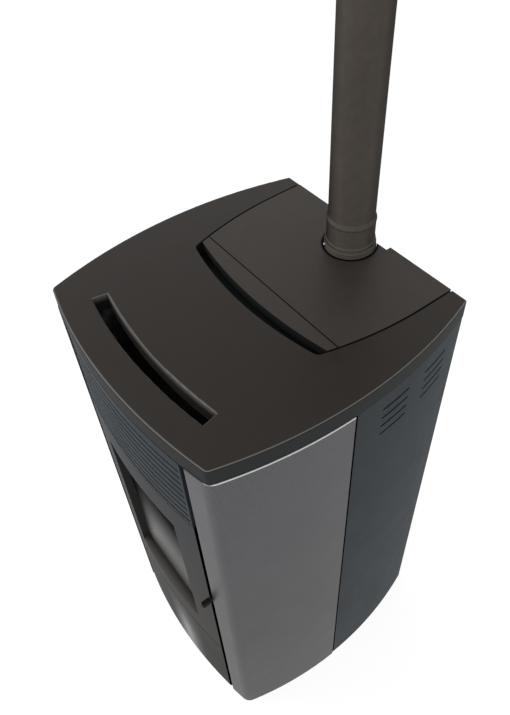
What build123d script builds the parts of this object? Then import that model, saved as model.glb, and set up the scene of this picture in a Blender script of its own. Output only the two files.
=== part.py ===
from build123d import *
import math
import os

# Overall plan: four bowed or straight sides, the origin on the floor
front_r = 984.0            # radius of the bowed front edge
front_cy = 690.6           # its centre lies on the centre plane, behind the stove
side_r = 844.0             # radius of each bowed side
side_cx = 564.4            # its centre lies this far across the centre plane
side_cy = -10.4            # y of the widest point
back_y = 262.5             # flat rear edge of the top plate
body_top = 1014.0          # underside of the top plate
plate_h = 36.0             # height of the top plate's rim
plate_top = body_top + plate_h
plate_corner_r = 10.0
plate_rear_r = 3.0
plate_edge_r = 4.0         # rounding of the top plate's upper edge
plate_skin = 8.0
plate_wall = 6.0
body_gap = 0.3             # clearance between pieces that move apart
running_fit = 0.05         # radial room of a shaft in its bearing

# Front division
front_half = 186.5         # half width of the door and of the lower panel
reveal_half = front_half + 8.0     # inner edge of the wrapped side panels
door_bottom = 263.5
door_top = 822.0
grille_gap = 3.0           # between the door and the grille
plate_gap = 5.0            # between the grille and the top plate
grille_half = front_half - 5.5
grille_bottom = door_top + grille_gap
grille_top = body_top - plate_gap
grille_wall = 4.5
louvre_pitch = 18.9
louvre_rise = 19.0
louvre_set = 0.5           # louvres stand back from the grille's face
lower_bottom = 3.0
lower_top = door_bottom - 1.6
front_inset = 0.5          # front pieces sit this far inside the plate's edge

# Side cladding
panel_proud = 1.2          # the side panels stand this far outside the plate
panel_t = 2.0
panel_corner_r = 25.0
panel_bottom = 2.0
seam_y = -22.0             # joint between the front and the rear side panel
seam_gap = 2.4
rear_panel_inset = 1.0
rear_panel_bottom = 2.0
rear_y = back_y - 0.5      # rear face of the cladding
flange_w = 14.0
vent_arcs = (337.0, 445.5)  # slot groups, measured round the side from y = -260
vent_z = 944.0
vent_l = 65.0
vent_h = 5.5
vent_pitch = 22.0

# Carcass
base_bottom = 12.0
base_t = 3.0
base_top = base_bottom + base_t
base_inset = 4.2
foot_xs = (-190, 190)
foot_ys = (-200, 210)
foot_r = 19.0
foot_h = 7.0
stud_r = 5.0
nut_r = 9.5
frame_x = reveal_half + 9.0        # inner face of the side frames
frame_t = 1.5
frame_front_y = -246.5
deck_t = 2.0
deck_bottom = body_top - deck_t
cover_t = 2.0
cover_half = 226.0
cover_y = rear_y - panel_t - body_gap - cover_t    # inner face of the rear cover
cover_back = cover_y + cover_t

# Rear part of the top: opening, lid, grip
opening_half = 203.5
opening_bend_y = 190.0     # the opening's sides curve in from here forward
opening_side_r = 660.0
opening_corner = (173.1, -8.0)
opening_mid_y = -30.0
opening_corner_r = 14.0
lid_gap = 3.6
lid_front_y = 29.5
lid_back_y = back_y - 1.5
lid_t = 2.0
lid_rim = 16.0
lid_notch_half = 56.5
lid_notch_depth = 10.0
grip_seam = 2.2
grip_end_y = 10.3
grip_mid_y = -8.0
grip_t = 2.5
grip_depth = 18.0

# Warm air slot in the top plate
slot_front_inset = 55.9
slot_rear_inset = 83.4
slot_angle = 10.65         # half angle of the slot about the front's centre
slot_edge_r = 3.0

# Flue
flue_r = 41.5
flue_t = 1.5
riser_gap = 1.6            # between the riser and the rear cover
flue_y = cover_y - riser_gap - flue_r
collar_t = 5.3
collar_r = flue_r + collar_t
hole_gap = 1.6             # between the collar and the lid's hole
flue_hole_r = collar_r + hole_gap
collar_bottom = plate_top - 4.0
collar_top = plate_top + 11.0
collar_slit = 2.5
screw_h = hole_gap - 0.4   # the head passes through the lid's hole
socket_fit = 0.4           # radial room in the pipe's socket
socket_r = flue_r + socket_fit + 1.6
socket_l = 44.0
bead_h = 0.8
pipe_bottom = collar_top + 0.5
pipe_length = 500.0
pipe_top = pipe_bottom + pipe_length

# Door
door_skin = 7.0
door_back_y = -262.5
window_half = front_half - 68.2
window_bottom = 338.0
window_top = 749.0
glass_lap = 12.0
glass_front_y = -267.7
glass_t = 4.0
glass_play = 0.5
seal_x = front_half - 31.5
seal_bottom = door_bottom + 8.0
seal_top = door_top - 18.5
seal_r = 4.0
hinge_x = 8.5 - front_half
hinge_back = 6.0           # from the door's skin back to the hinge axis
hinge_pin_r = 3.0
hinge_zs = (340.0, 715.0)
knuckle_h = 30.0
knuckle_r = 6.5             # joined to the door's skin
ear_r = 5.5
ear_t = 4.0

# Firebox
box_half = seal_x + 10.0
box_t = 4.0
box_front_y = -254.0
box_back_y = -8.0
box_bottom = 276.0
box_top = 900.0
box_plate_bottom = 262.0
mouth_half = seal_x - 30.0
mouth_top = seal_top - 8.5
floor_top = box_bottom + box_t
liner_t = 12.0
liner_top = 740.0
duct_half = 15.0           # the exchanger's flat ducts
duct_bottom = 838.0
duct_top = 882.0
duct_t = 2.0
duct_pitch = 60.0
duct_count = 5

# Latch
latch_z = 547.0
latch_y = -248.0
latch_x0 = front_half + 1.0
latch_x1 = latch_x0 + 3.5
latch_mid = (latch_x0 + latch_x1) / 2
latch_lug_x = front_half - 8.5
latch_pin_r = 3.0
catch_y = -230.0
catch_z = 558.0
peg_r = 7.0
peg_front_y = -298.0
peg_gap = 4.0              # from the front to the back of the peg, so that the lever can tip

# Pellet feed
auger_p = (0.0, 100.0, 400.0)
auger_lean = math.radians(55.8)
auger_tube_r = 30.0
auger_tube_t = 3.0
auger_tube_l = 140.0
auger_r = auger_tube_r - auger_tube_t - 1.0
auger_core_r = 8.0
auger_pitch = 40.0
auger_turns = 3
flight_t = 2.4
flight_steps = 14          # flat sectors in each turn of the flight
auger_shaft_r = 5.0
chute_half = auger_tube_r + 4.0
chute_t = 2.5
tube_gap = 0.1             # hopper and chute round the auger tube
hopper_half = 160.0
hopper_front_y = 46.0
hopper_back_y = 150.0
hopper_t = 1.5
hopper_seam = 0.1          # between the sheets that are welded into the hopper
hopper_rim_z = plate_top - 10.0
hopper_knee_z = 760.0
hopper_mouth_z = 530.0
outlet_half = auger_tube_r - 4.0
outlet_front_y = 52.0
outlet_back_y = 100.0

# Combustion air and burner
air_x = -75.0
air_z = 331.5
air_r = 25.0
air_t = 1.5
air_ring_r = 31.0          # stop ring outside the rear cover
air_ring_t = 2.0
air_end_y = 298.0
plenum_left = -105.0
plenum_right = 60.0
plenum_front_y = -152.0
plenum_bottom = 305.0
plenum_top = 358.0
plenum_t = 3.0
pot_y = -81.0
pot_half_x = 44.0
pot_half_y = 45.0
pot_flare_x = 12.0
pot_flare_y = 8.0
pot_top = 436.0
pot_wall = 4.0
igniter_z = 345.0
igniter_r = 9.0

# Exhaust fan and convection blower
fan_x = 64.0
fan_z = 170.0
fan_front_y = 140.0
fan_back_y = 190.0
fan_inlet_r = 34.0
fan_wheel_r = 50.0
fan_shaft_r = 4.0
fan_wall = 2.0
fan_scroll_r = 88.0
fan_top = 258.0
adapter_half = flue_r + 1.5
adapter_wall = 2.0
adapter_top = 332.0
smoke_bottom = 205.0
smoke_half = box_half - 3.0
duct_x0 = 20.0             # smoke duct back to the fan
duct_x1 = 108.0
duct_z0 = 128.0
smoke_t = 2.0
blower_y = 62.0
blower_z = 75.0
blower_r = 28.0
blower_half = 125.0
blower_shaft_r = 4.0

# Electrical parts and the screws of the rear cover
cover_screw_x = 216.0
cover_screw_zs = (60, 350, 680, 980)
cover_screw_r = 2.0
inlet_x0 = -186.0
inlet_x1 = -130.0
inlet_z0 = 92.0
inlet_z1 = 122.0
inlet_rim = 4.0
thermostat_x = -100.0
thermostat_z = 107.0
button_r = 3.0
switch_y = 120.0
switch_z = 480.0


def front_y(x, inset):
    """y of the bowed front, set in from the plate's edge."""
    return front_cy - math.sqrt((front_r - inset) ** 2 - x ** 2)


def side_x(y, inset):
    """x of the bowed right side, set in from the plate's edge."""
    return math.sqrt((side_r - inset) ** 2 - (y - side_cy) ** 2) - side_cx


def corner(inset):
    """Point where the inset front and side curves meet, on the right."""
    y = -260.0
    for _ in range(60):
        x = side_x(y, inset)
        y = front_y(x, inset)
    return x, y


def span(x0, x1, y0, y1):
    """Rectangle between two x and two y values."""
    return Pos((x0 + x1) / 2, (y0 + y1) / 2) * Rectangle(x1 - x0, y1 - y0, mode=Mode.PRIVATE)


def disc(x, y, r):
    """Circle of radius r about a point."""
    return Pos(x, y) * Circle(r, mode=Mode.PRIVATE)


def faceted(x, y, r, sides=16):
    """Regular outline within a circle of radius r, for a piece with flats round it."""
    return Pos(x, y) * RegularPolygon(r, sides, mode=Mode.PRIVATE)


def slot(length, height):
    """Slot about the origin with cut corners."""
    cut = height * 0.3
    x = length / 2
    y = height / 2
    with BuildSketch() as outline:
        with BuildLine():
            Polyline((-x, cut - y), (cut - x, -y), (x - cut, -y), (x, cut - y), (x, y - cut), (x - cut, y),
                     (cut - x, y), (-x, y - cut), (-x, cut - y))
        make_face()
    return outline.sketch


def plan_outline(inset, back_inset=0.0):
    """Closed plan of the stove, set in from the plate's edge."""
    cx, cy = corner(inset)
    by = back_y - back_inset
    bx = side_x(by, inset)
    mx = side_x(side_cy, inset)
    with BuildSketch() as plan:
        with BuildLine():
            ThreePointArc((-cx, cy), (0, front_y(0, inset)), (cx, cy))
            ThreePointArc((cx, cy), (mx, side_cy), (bx, by))
            Line((bx, by), (-bx, by))
            ThreePointArc((-bx, by), (-mx, side_cy), (-cx, cy))
        make_face()
    return plan.sketch


def front_block(inset, y_back, x0, x1):
    """Plan between a front curve and a straight line across the back."""
    xm = (x0 + x1) / 2
    with BuildSketch() as block:
        with BuildLine():
            ThreePointArc((x0, front_y(x0, inset)), (xm, front_y(xm, inset)), (x1, front_y(x1, inset)))
            Line((x1, front_y(x1, inset)), (x1, y_back))
            Line((x1, y_back), (x0, y_back))
            Line((x0, y_back), (x0, front_y(x0, inset)))
        make_face()
    return block.sketch


def side_band(inset_a, inset_b, y0, y1):
    """Strip between two curves of the right side."""
    ym = (y0 + y1) / 2
    with BuildSketch() as band:
        with BuildLine():
            ThreePointArc((side_x(y0, inset_a), y0), (side_x(ym, inset_a), ym), (side_x(y1, inset_a), y1))
            Line((side_x(y1, inset_a), y1), (side_x(y1, inset_b), y1))
            ThreePointArc((side_x(y1, inset_b), y1), (side_x(ym, inset_b), ym), (side_x(y0, inset_b), y0))
            Line((side_x(y0, inset_b), y0), (side_x(y0, inset_a), y0))
        make_face()
    return band.sketch


def slot_plan(grow):
    """Curved warm air slot, grown by a wall all round."""
    ra = front_r - slot_front_inset + grow
    rb = front_r - slot_rear_inset - grow
    a = math.radians(slot_angle) + grow / ra
    with BuildSketch() as plan:
        with BuildLine():
            ThreePointArc(polar(ra, -a), polar(ra, 0), polar(ra, a))
            Line(polar(ra, a), polar(rb, a))
            ThreePointArc(polar(rb, a), polar(rb, 0), polar(rb, -a))
            Line(polar(rb, -a), polar(ra, -a))
        make_face()
    return plan.sketch


def polar(r, a):
    """Point at a radius and an angle about the front curve's centre."""
    return r * math.sin(a), front_cy - r * math.cos(a)


def lid_x(y, gap):
    """x of the opening's right side, or of the lid's when a gap is given."""
    if y >= opening_bend_y:
        return opening_half - gap
    r = opening_side_r - gap
    return opening_half - opening_side_r + math.sqrt(r ** 2 - (opening_bend_y - y) ** 2)


def opening_plan(grow):
    """Opening at the rear of the top plate, with a bowed front."""
    x, y = opening_corner
    xc = lid_x(y, -grow)
    yb = back_y + 5
    ym = (opening_bend_y + y) / 2
    with BuildSketch() as plan:
        with BuildLine():
            Line((-opening_half - grow, yb), (opening_half + grow, yb))
            Line((opening_half + grow, yb), (opening_half + grow, opening_bend_y))
            ThreePointArc((opening_half + grow, opening_bend_y), (lid_x(ym, -grow), ym), (xc, y - grow))
            ThreePointArc((xc, y - grow), (0, opening_mid_y - grow), (-xc, y - grow))
            ThreePointArc((-xc, y - grow), (-lid_x(ym, -grow), ym), (-opening_half - grow, opening_bend_y))
            Line((-opening_half - grow, opening_bend_y), (-opening_half - grow, yb))
        make_face()
        fillet(plan.vertices().sort_by(Axis.Y)[:2], opening_corner_r + grow)
    return plan.sketch


def lid_plan(gap, y_front, y_back):
    """Plan of the lid between a straight front and a straight back."""
    xb = opening_half - gap
    xf = lid_x(y_front, gap)
    ym = (opening_bend_y + y_front) / 2
    xm = lid_x(ym, gap)
    with BuildSketch() as plan:
        with BuildLine():
            Line((-xb, y_back), (xb, y_back))
            Line((xb, y_back), (xb, opening_bend_y))
            ThreePointArc((xb, opening_bend_y), (xm, ym), (xf, y_front))
            Line((xf, y_front), (-xf, y_front))
            ThreePointArc((-xf, y_front), (-xm, ym), (-xb, opening_bend_y))
            Line((-xb, opening_bend_y), (-xb, y_back))
        make_face()
    return plan.sketch


def grip_plan(wall):
    """Crescent in front of the lid, set in by a wall."""
    yr = lid_front_y - grip_seam - wall
    ye = grip_end_y + wall
    gap = lid_gap + wall
    with BuildSketch() as plan:
        with BuildLine():
            Line((-lid_x(yr, gap), yr), (lid_x(yr, gap), yr))
            Line((lid_x(yr, gap), yr), (lid_x(ye, gap), ye))
            ThreePointArc((lid_x(ye, gap), ye), (0, grip_mid_y + wall), (-lid_x(ye, gap), ye))
            Line((-lid_x(ye, gap), ye), (-lid_x(yr, gap), yr))
        make_face()
    return plan.sketch


def auger_plane(t):
    """Plane across the auger at a distance along it."""
    uy = -math.cos(auger_lean)
    uz = math.sin(auger_lean)
    origin = (auger_p[0], auger_p[1] + uy * t, auger_p[2] + uz * t)
    return Plane(origin=origin, x_dir=(1, 0, 0), z_dir=(0, uy, uz))


def y_plane(y):
    """Plane facing the front, at a y."""
    return Plane.XZ.offset(-y)


def crossed(side_view, front_view):
    """Solid with the given outlines in its side view (y, z) and its front view (x, z)."""
    with BuildPart() as body:
        with BuildSketch(Plane.YZ.offset(-400)):
            with BuildLine():
                Polyline(*side_view, side_view[0])
            make_face()
        extrude(amount=800)
        with BuildSketch(Plane.XZ.offset(-400)):
            with BuildLine():
                Polyline(*front_view, front_view[0])
            make_face()
        extrude(amount=800, mode=Mode.INTERSECT)
    return body.part


# Top plate: cast shell with a rounded edge, the rear opening and the slot
with BuildPart() as top_plate:
    with BuildSketch(Plane.XY.offset(body_top)) as plate_plan:
        add(plan_outline(0))
        fillet(plate_plan.vertices().group_by(Axis.Y)[0], plate_corner_r)
        fillet(plate_plan.vertices().group_by(Axis.Y)[-1], plate_rear_r)
    extrude(amount=plate_h)
    fillet(top_plate.faces().sort_by(Axis.Z)[-1].edges(), plate_edge_r)
    with BuildSketch(Plane.XY.offset(body_top)):
        add(opening_plan(0))
    extrude(amount=plate_h, mode=Mode.SUBTRACT)
    with BuildSketch(Plane.XY.offset(body_top)):
        add(plan_outline(plate_wall, plate_wall))
        add(opening_plan(plate_wall), mode=Mode.SUBTRACT)
        add(slot_plan(plate_wall - 1), mode=Mode.SUBTRACT)
    extrude(amount=plate_h - plate_skin, mode=Mode.SUBTRACT)
    with BuildSketch(Plane.XY.offset(body_top)):
        add(slot_plan(0))
    extrude(amount=plate_h, mode=Mode.SUBTRACT)
    fillet(top_plate.faces().sort_by(Axis.Z)[-1].inner_wires()[0].edges(), slot_edge_r)
top_plate.part.label = "top_plate"

# Deck below the lid: floor of the finger recess, with the hopper's mouth
with BuildPart() as hopper_deck:
    with BuildSketch(Plane.XY.offset(deck_bottom)):
        add(span(-frame_x - 8.5, frame_x + 8.5, opening_mid_y - 18, cover_y - 1))
        add(span(-hopper_half, hopper_half, hopper_front_y, hopper_back_y), mode=Mode.SUBTRACT)
        add(disc(0, flue_y, flue_r + body_gap), mode=Mode.SUBTRACT)
    extrude(amount=deck_t)
hopper_deck.part.label = "hopper_deck"

# Hopper lid: folded sheet with a hole round the flue
with BuildPart() as hopper_lid:
    with BuildSketch(Plane.XY.offset(plate_top - lid_t)):
        add(lid_plan(lid_gap, lid_front_y, lid_back_y))
        add(span(-lid_notch_half, lid_notch_half, lid_back_y - lid_notch_depth, back_y + 1), mode=Mode.SUBTRACT)
        add(disc(0, flue_y, flue_hole_r), mode=Mode.SUBTRACT)
    extrude(amount=lid_t)
    with BuildSketch(Plane.XY.offset(plate_top - lid_t - lid_rim)):
        add(lid_plan(lid_gap, lid_front_y, lid_back_y))
        add(lid_plan(lid_gap + lid_t, lid_front_y + lid_t, lid_back_y - lid_t), mode=Mode.SUBTRACT)
        add(span(-lid_notch_half, lid_notch_half, lid_back_y - lid_notch_depth, back_y + 1), mode=Mode.SUBTRACT)
    extrude(amount=lid_rim)
hopper_lid.part.label = "hopper_lid"

# Grip: crescent hooked over from the finger recess, joined under the lid by two tabs
with BuildPart() as lid_grip:
    with BuildSketch(Plane.XY.offset(plate_top - grip_depth)):
        add(grip_plan(0))
    extrude(amount=grip_depth)
    with BuildSketch(Plane.XY.offset(plate_top - grip_depth)):
        add(grip_plan(grip_t))
    extrude(amount=grip_depth - grip_t, mode=Mode.SUBTRACT)
    with BuildSketch(Plane.XY.offset(plate_top - lid_t - lid_rim - grip_t)):
        for x in (-135, 135):
            add(span(x - 16, x + 16, 14, 40))
    extrude(amount=grip_t)
lid_grip.part.label = "lid_grip"

# Seal on the hopper's rim
with BuildPart() as lid_seal:
    with BuildSketch(Plane.XY.offset(hopper_rim_z)):
        add(span(-hopper_half - 3, hopper_half + 3, hopper_front_y - 3, hopper_back_y + 3))
        add(span(-hopper_half + 4, hopper_half - 4, hopper_front_y + 4, hopper_back_y - 4), mode=Mode.SUBTRACT)
    extrude(amount=plate_top - lid_t - body_gap - hopper_rim_z)
lid_seal.part.label = "lid_seal"

# Hopper: box, funnel and outlet onto the auger tube, welded from flat sheets
def hopper_body(wall_x, wall_y, low, high):
    """Box, funnel and outlet of the hopper, set in across and along by a wall."""
    top = hopper_half - wall_x
    yf = hopper_front_y + wall_y
    yb = hopper_back_y - wall_y
    of = outlet_front_y + wall_y
    ob = outlet_back_y - wall_y
    mouth = outlet_half - wall_x
    side = [(yf, high), (yf, hopper_knee_z), (of, hopper_mouth_z), (of, low),
            (ob, low), (ob, hopper_mouth_z), (yb, hopper_knee_z), (yb, high)]
    front = [(-top, high), (-top, hopper_knee_z), (-mouth, hopper_mouth_z), (-mouth, low),
             (mouth, low), (mouth, hopper_mouth_z), (top, hopper_knee_z), (top, high)]
    return crossed(side, front)


with BuildPart() as hopper_ends:
    add(hopper_body(hopper_t + hopper_seam, 0, 420, hopper_rim_z))
    add(hopper_body(0, hopper_t, 400, hopper_rim_z + 1), mode=Mode.SUBTRACT)

with BuildPart() as hopper:
    add(hopper_body(0, 0, 420, hopper_rim_z))
    add(hopper_body(hopper_t, -hopper_t, 400, hopper_rim_z + 1), mode=Mode.SUBTRACT)
    add(hopper_ends.part)
    for z in (hopper_knee_z, hopper_mouth_z):
        with BuildSketch(Plane.XY.offset(z)):
            add(span(-hopper_half - 1, hopper_half + 1, hopper_front_y - 1, hopper_back_y + 1))
        extrude(amount=hopper_seam, mode=Mode.SUBTRACT)
    with BuildSketch(auger_plane(-20)):
        add(disc(0, 0, auger_tube_r + tube_gap))
    extrude(amount=auger_tube_l + 60, mode=Mode.SUBTRACT)
    with BuildSketch(auger_plane(-120)):
        add(span(-chute_half, chute_half, -200, 0))
    extrude(amount=auger_tube_l + 200, mode=Mode.SUBTRACT)
hopper.part.label = "hopper"

# Auger tube, open to the hopper above and to the chute at its upper end
with BuildPart() as auger_tube:
    with BuildSketch(auger_plane(0)):
        add(disc(0, 0, auger_tube_r))
        add(disc(0, 0, auger_tube_r - auger_tube_t), mode=Mode.SUBTRACT)
    extrude(amount=auger_tube_l)
    with BuildSketch(Plane.XY.offset(440)):
        add(span(4 - outlet_half, outlet_half - 4, outlet_front_y + 4, outlet_back_y - 4))
    extrude(amount=100, mode=Mode.SUBTRACT)
auger_tube.part.label = "auger_tube"

# Auger screw: a shafted core with a flight made of flat sectors
with BuildPart() as flight:
    sector = 2 * math.pi / flight_steps
    flight_out = auger_r * math.cos(sector / 2)
    flight_mid = (auger_core_r - 1 + flight_out) / 2
    climb = math.atan2(auger_pitch, 2 * math.pi * flight_mid)
    sector_l = 2 * flight_out * math.tan(sector / 2) / math.cos(climb)
    spots = []
    for i in range(auger_turns * flight_steps):
        turn = sector * i
        out = (math.cos(turn), math.sin(turn), 0)
        lay = (math.sin(turn) * math.sin(climb), -math.cos(turn) * math.sin(climb), math.cos(climb))
        spot = (flight_mid * out[0], flight_mid * out[1], auger_pitch * i / flight_steps)
        spots.append(Plane(origin=spot, x_dir=out, z_dir=lay))
    with Locations(*spots):
        Box(flight_out - auger_core_r + 1, sector_l, flight_t)

with BuildPart() as auger_screw:
    with BuildSketch(auger_plane(2)):
        add(disc(0, 0, auger_core_r))
    extrude(amount=auger_tube_l - 6)
    with BuildSketch(auger_plane(-32)):
        add(disc(0, 0, auger_shaft_r))
    extrude(amount=36)
    add(auger_plane(10).location * flight.part)
auger_screw.part.label = "auger_screw"

# Gearmotor under the auger
with BuildPart() as gearmotor:
    with BuildSketch(auger_plane(-6)):
        add(faceted(0, 0, auger_tube_r + 5, 12))
    extrude(amount=6)
    with BuildSketch(auger_plane(-34)):
        add(span(-25, 25, -25, 25))
    extrude(amount=28)
    with BuildSketch(auger_plane(-66)):
        add(faceted(0, 0, 28, 12))
    extrude(amount=32)
    with BuildSketch(auger_plane(-33)):
        add(disc(0, 0, auger_shaft_r + running_fit))
    extrude(amount=34, mode=Mode.SUBTRACT)
gearmotor.part.label = "gearmotor"

# Chute from the auger's upper end down into the firebox
with BuildPart() as feed_chute:
    with BuildSketch(Plane.YZ.offset(-chute_half)):
        with BuildLine():
            Polyline((44, 500), (44, 585), (-6, 585), (-50, 530), (-50, 478), (-6, 500), (44, 500))
        make_face()
    extrude(amount=2 * chute_half)
    with BuildSketch(y_plane(box_back_y + 3)):
        add(span(-chute_half - 10, chute_half + 10, 488, 598))
    extrude(amount=3)
    with BuildSketch(Plane.YZ.offset(chute_t - chute_half)):
        with BuildLine():
            Polyline((41.5, 502.5), (41.5, 582.5), (-5, 582.5), (-51, 526), (-51, 481), (-6, 502.5), (41.5, 502.5))
        make_face()
    extrude(amount=2 * (chute_half - chute_t), mode=Mode.SUBTRACT)
    with BuildSketch(auger_plane(60)):
        add(disc(0, 0, auger_tube_r + tube_gap))
    extrude(amount=auger_tube_l - 58, mode=Mode.SUBTRACT)
feed_chute.part.label = "feed_chute"

# Side panel: front half of the side, wrapped round the corner onto the front
with BuildPart() as side_panel_right:
    with BuildSketch(Plane.XY.offset(panel_bottom)) as panel_plan:
        add(plan_outline(-panel_proud))
        fillet(panel_plan.vertices().group_by(Axis.Y)[0], panel_corner_r)
    extrude(amount=body_top - panel_bottom)
    with BuildSketch(Plane.XY.offset(panel_bottom)) as panel_core:
        add(plan_outline(panel_t - panel_proud))
        fillet(panel_core.vertices().group_by(Axis.Y)[0], panel_corner_r - panel_t)
    extrude(amount=body_top - panel_bottom, mode=Mode.SUBTRACT)
    with BuildSketch(Plane.XY.offset(panel_bottom)):
        add(span(reveal_half, 400, -400, seam_y))
    extrude(amount=body_top - panel_bottom, mode=Mode.INTERSECT)
    with BuildSketch(Plane.XY.offset(panel_bottom)):
        add(span(side_x(seam_y, 0) - flange_w, side_x(seam_y, 0), seam_y - panel_t, seam_y))
        add(span(reveal_half, reveal_half + panel_t, front_y(reveal_half, 0), frame_front_y))
    extrude(amount=body_top - panel_bottom)
side_panel_right.part.label = "side_panel_right"

with BuildPart() as side_panel_left:
    mirror(side_panel_right.part, about=Plane.YZ)
side_panel_left.part.label = "side_panel_left"

# Rear side panel: dark sheet with two groups of four vent slots
with BuildPart() as rear_side_right:
    rear_seam = seam_y + seam_gap
    inner = rear_panel_inset + panel_t
    with BuildSketch(Plane.XY.offset(rear_panel_bottom)):
        add(side_band(rear_panel_inset, inner, rear_seam, rear_y))
        add(span(side_x(rear_seam, inner) - flange_w, side_x(rear_seam, inner) + 1, rear_seam, rear_seam + panel_t))
        add(span(frame_x + frame_t, side_x(rear_y, inner) + 0.5, rear_y - panel_t, rear_y))
    extrude(amount=body_top - rear_panel_bottom)
    for arc in vent_arcs:
        a = math.asin((-260 - side_cy) / side_r) + arc / side_r
        radial = (math.cos(a), math.sin(a), 0)
        tangent = (-math.sin(a), math.cos(a), 0)
        origin = (side_r * math.cos(a) - side_cx, side_cy + side_r * math.sin(a), vent_z)
        with BuildSketch(Plane(origin=origin, x_dir=tangent, z_dir=radial)):
            with GridLocations(1, vent_pitch, 1, 4):
                add(slot(vent_l, vent_h))
        extrude(amount=8, both=True, mode=Mode.SUBTRACT)
    with BuildSketch(y_plane(rear_y)):
        for z in cover_screw_zs:
            add(faceted(cover_screw_x, z, cover_screw_r, 8))
    extrude(amount=panel_t, mode=Mode.SUBTRACT)
rear_side_right.part.label = "rear_side_right"

with BuildPart() as rear_side_left:
    mirror(rear_side_right.part, about=Plane.YZ)
rear_side_left.part.label = "rear_side_left"

# Base plate, slotted for the folded edges of the cladding
with BuildPart() as base_plate:
    with BuildSketch(Plane.XY.offset(base_bottom)) as base_plan:
        add(plan_outline(base_inset, base_inset))
        fillet(base_plan.vertices().group_by(Axis.Y)[0], panel_corner_r)
        for x in foot_xs:
            for y in foot_ys:
                add(faceted(x, y, stud_r + 0.5, 8), mode=Mode.SUBTRACT)
        for y in (blower_y - 22, blower_y, blower_y + 22):
            add(span(-110, 110, y - 5, y + 5), mode=Mode.SUBTRACT)
        for s in (-1, 1):
            lower_edge = sorted((s * (front_half - 3), s * (front_half + 1)))
            return_edge = sorted((s * (reveal_half - 1), s * (reveal_half + panel_t + 1)))
            seam_edge = sorted((s * (side_x(seam_y, 0) - flange_w - 4), s * (side_x(seam_y, 0) + 10)))
            rear_edge = sorted((s * (frame_x + frame_t - 1), s * (side_x(side_cy, 0) + 10)))
            add(span(*lower_edge, -320, -249), mode=Mode.SUBTRACT)
            add(span(*return_edge, -320, frame_front_y + 0.5), mode=Mode.SUBTRACT)
            add(span(*seam_edge, seam_y - panel_t - 1, seam_y + seam_gap + panel_t + 1), mode=Mode.SUBTRACT)
            add(span(*rear_edge, rear_y - panel_t - 1, rear_y + 5), mode=Mode.SUBTRACT)
    extrude(amount=base_t)
base_plate.part.label = "base_plate"

# Four levelling feet with lock nuts
with BuildPart() as levelling_feet:
    for z0, z1, r, sides in (
        (0, foot_h, foot_r, 16),
        (foot_h, base_top + 23, stud_r, 8),
        (base_top, base_top + 6, nut_r, 6),
        (foot_h, base_bottom, nut_r, 6),
    ):
        with BuildSketch(Plane.XY.offset(z0)):
            for x in foot_xs:
                for y in foot_ys:
                    add(faceted(x, y, r, sides))
        extrude(amount=z1 - z0)
levelling_feet.part.label = "levelling_feet"

# Side frames: flanged sheets that carry the cladding, the deck and the rear cover
with BuildPart() as side_frame_right:
    with BuildSketch(Plane.XY.offset(base_top)):
        add(span(frame_x, frame_x + frame_t, frame_front_y, cover_y))
        add(span(reveal_half, frame_x + frame_t, frame_front_y, frame_front_y + frame_t))
    extrude(amount=deck_bottom - base_top)
side_frame_right.part.label = "side_frame_right"

with BuildPart() as side_frame_left:
    mirror(side_frame_right.part, about=Plane.YZ)
side_frame_left.part.label = "side_frame_left"

# Rear cover with intake slots and the openings for inlet, switch and button
with BuildPart() as rear_cover:
    with BuildSketch(y_plane(cover_back)):
        add(span(-cover_half, cover_half, base_top, body_top - 3))
        add(disc(air_x, air_z, air_r + body_gap), mode=Mode.SUBTRACT)
        add(span(inlet_x0, inlet_x1, inlet_z0, inlet_z1), mode=Mode.SUBTRACT)
        add(faceted(thermostat_x, thermostat_z, button_r + 3.4, 12), mode=Mode.SUBTRACT)
    extrude(amount=cover_t)
    with BuildSketch(y_plane(cover_back)):
        with Locations((110, 120), (-90, 640), (90, 640)):
            with GridLocations(1, 22, 1, 4):
                add(slot(130, 7))
        for x in (-cover_screw_x, cover_screw_x):
            for z in cover_screw_zs:
                add(faceted(x, z, cover_screw_r, 8))
    extrude(amount=cover_t, mode=Mode.SUBTRACT)
rear_cover.part.label = "rear_cover"

with BuildPart() as cover_screws:
    with BuildSketch(y_plane(rear_y)):
        for x in (-cover_screw_x, cover_screw_x):
            for z in cover_screw_zs:
                add(faceted(x, z, cover_screw_r, 8))
    extrude(amount=8)
    with BuildSketch(y_plane(rear_y + 2.4)):
        for x in (-cover_screw_x, cover_screw_x):
            for z in cover_screw_zs:
                add(faceted(x, z, 4.6, 6))
    extrude(amount=2.4)
cover_screws.part.label = "cover_screws"

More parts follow.
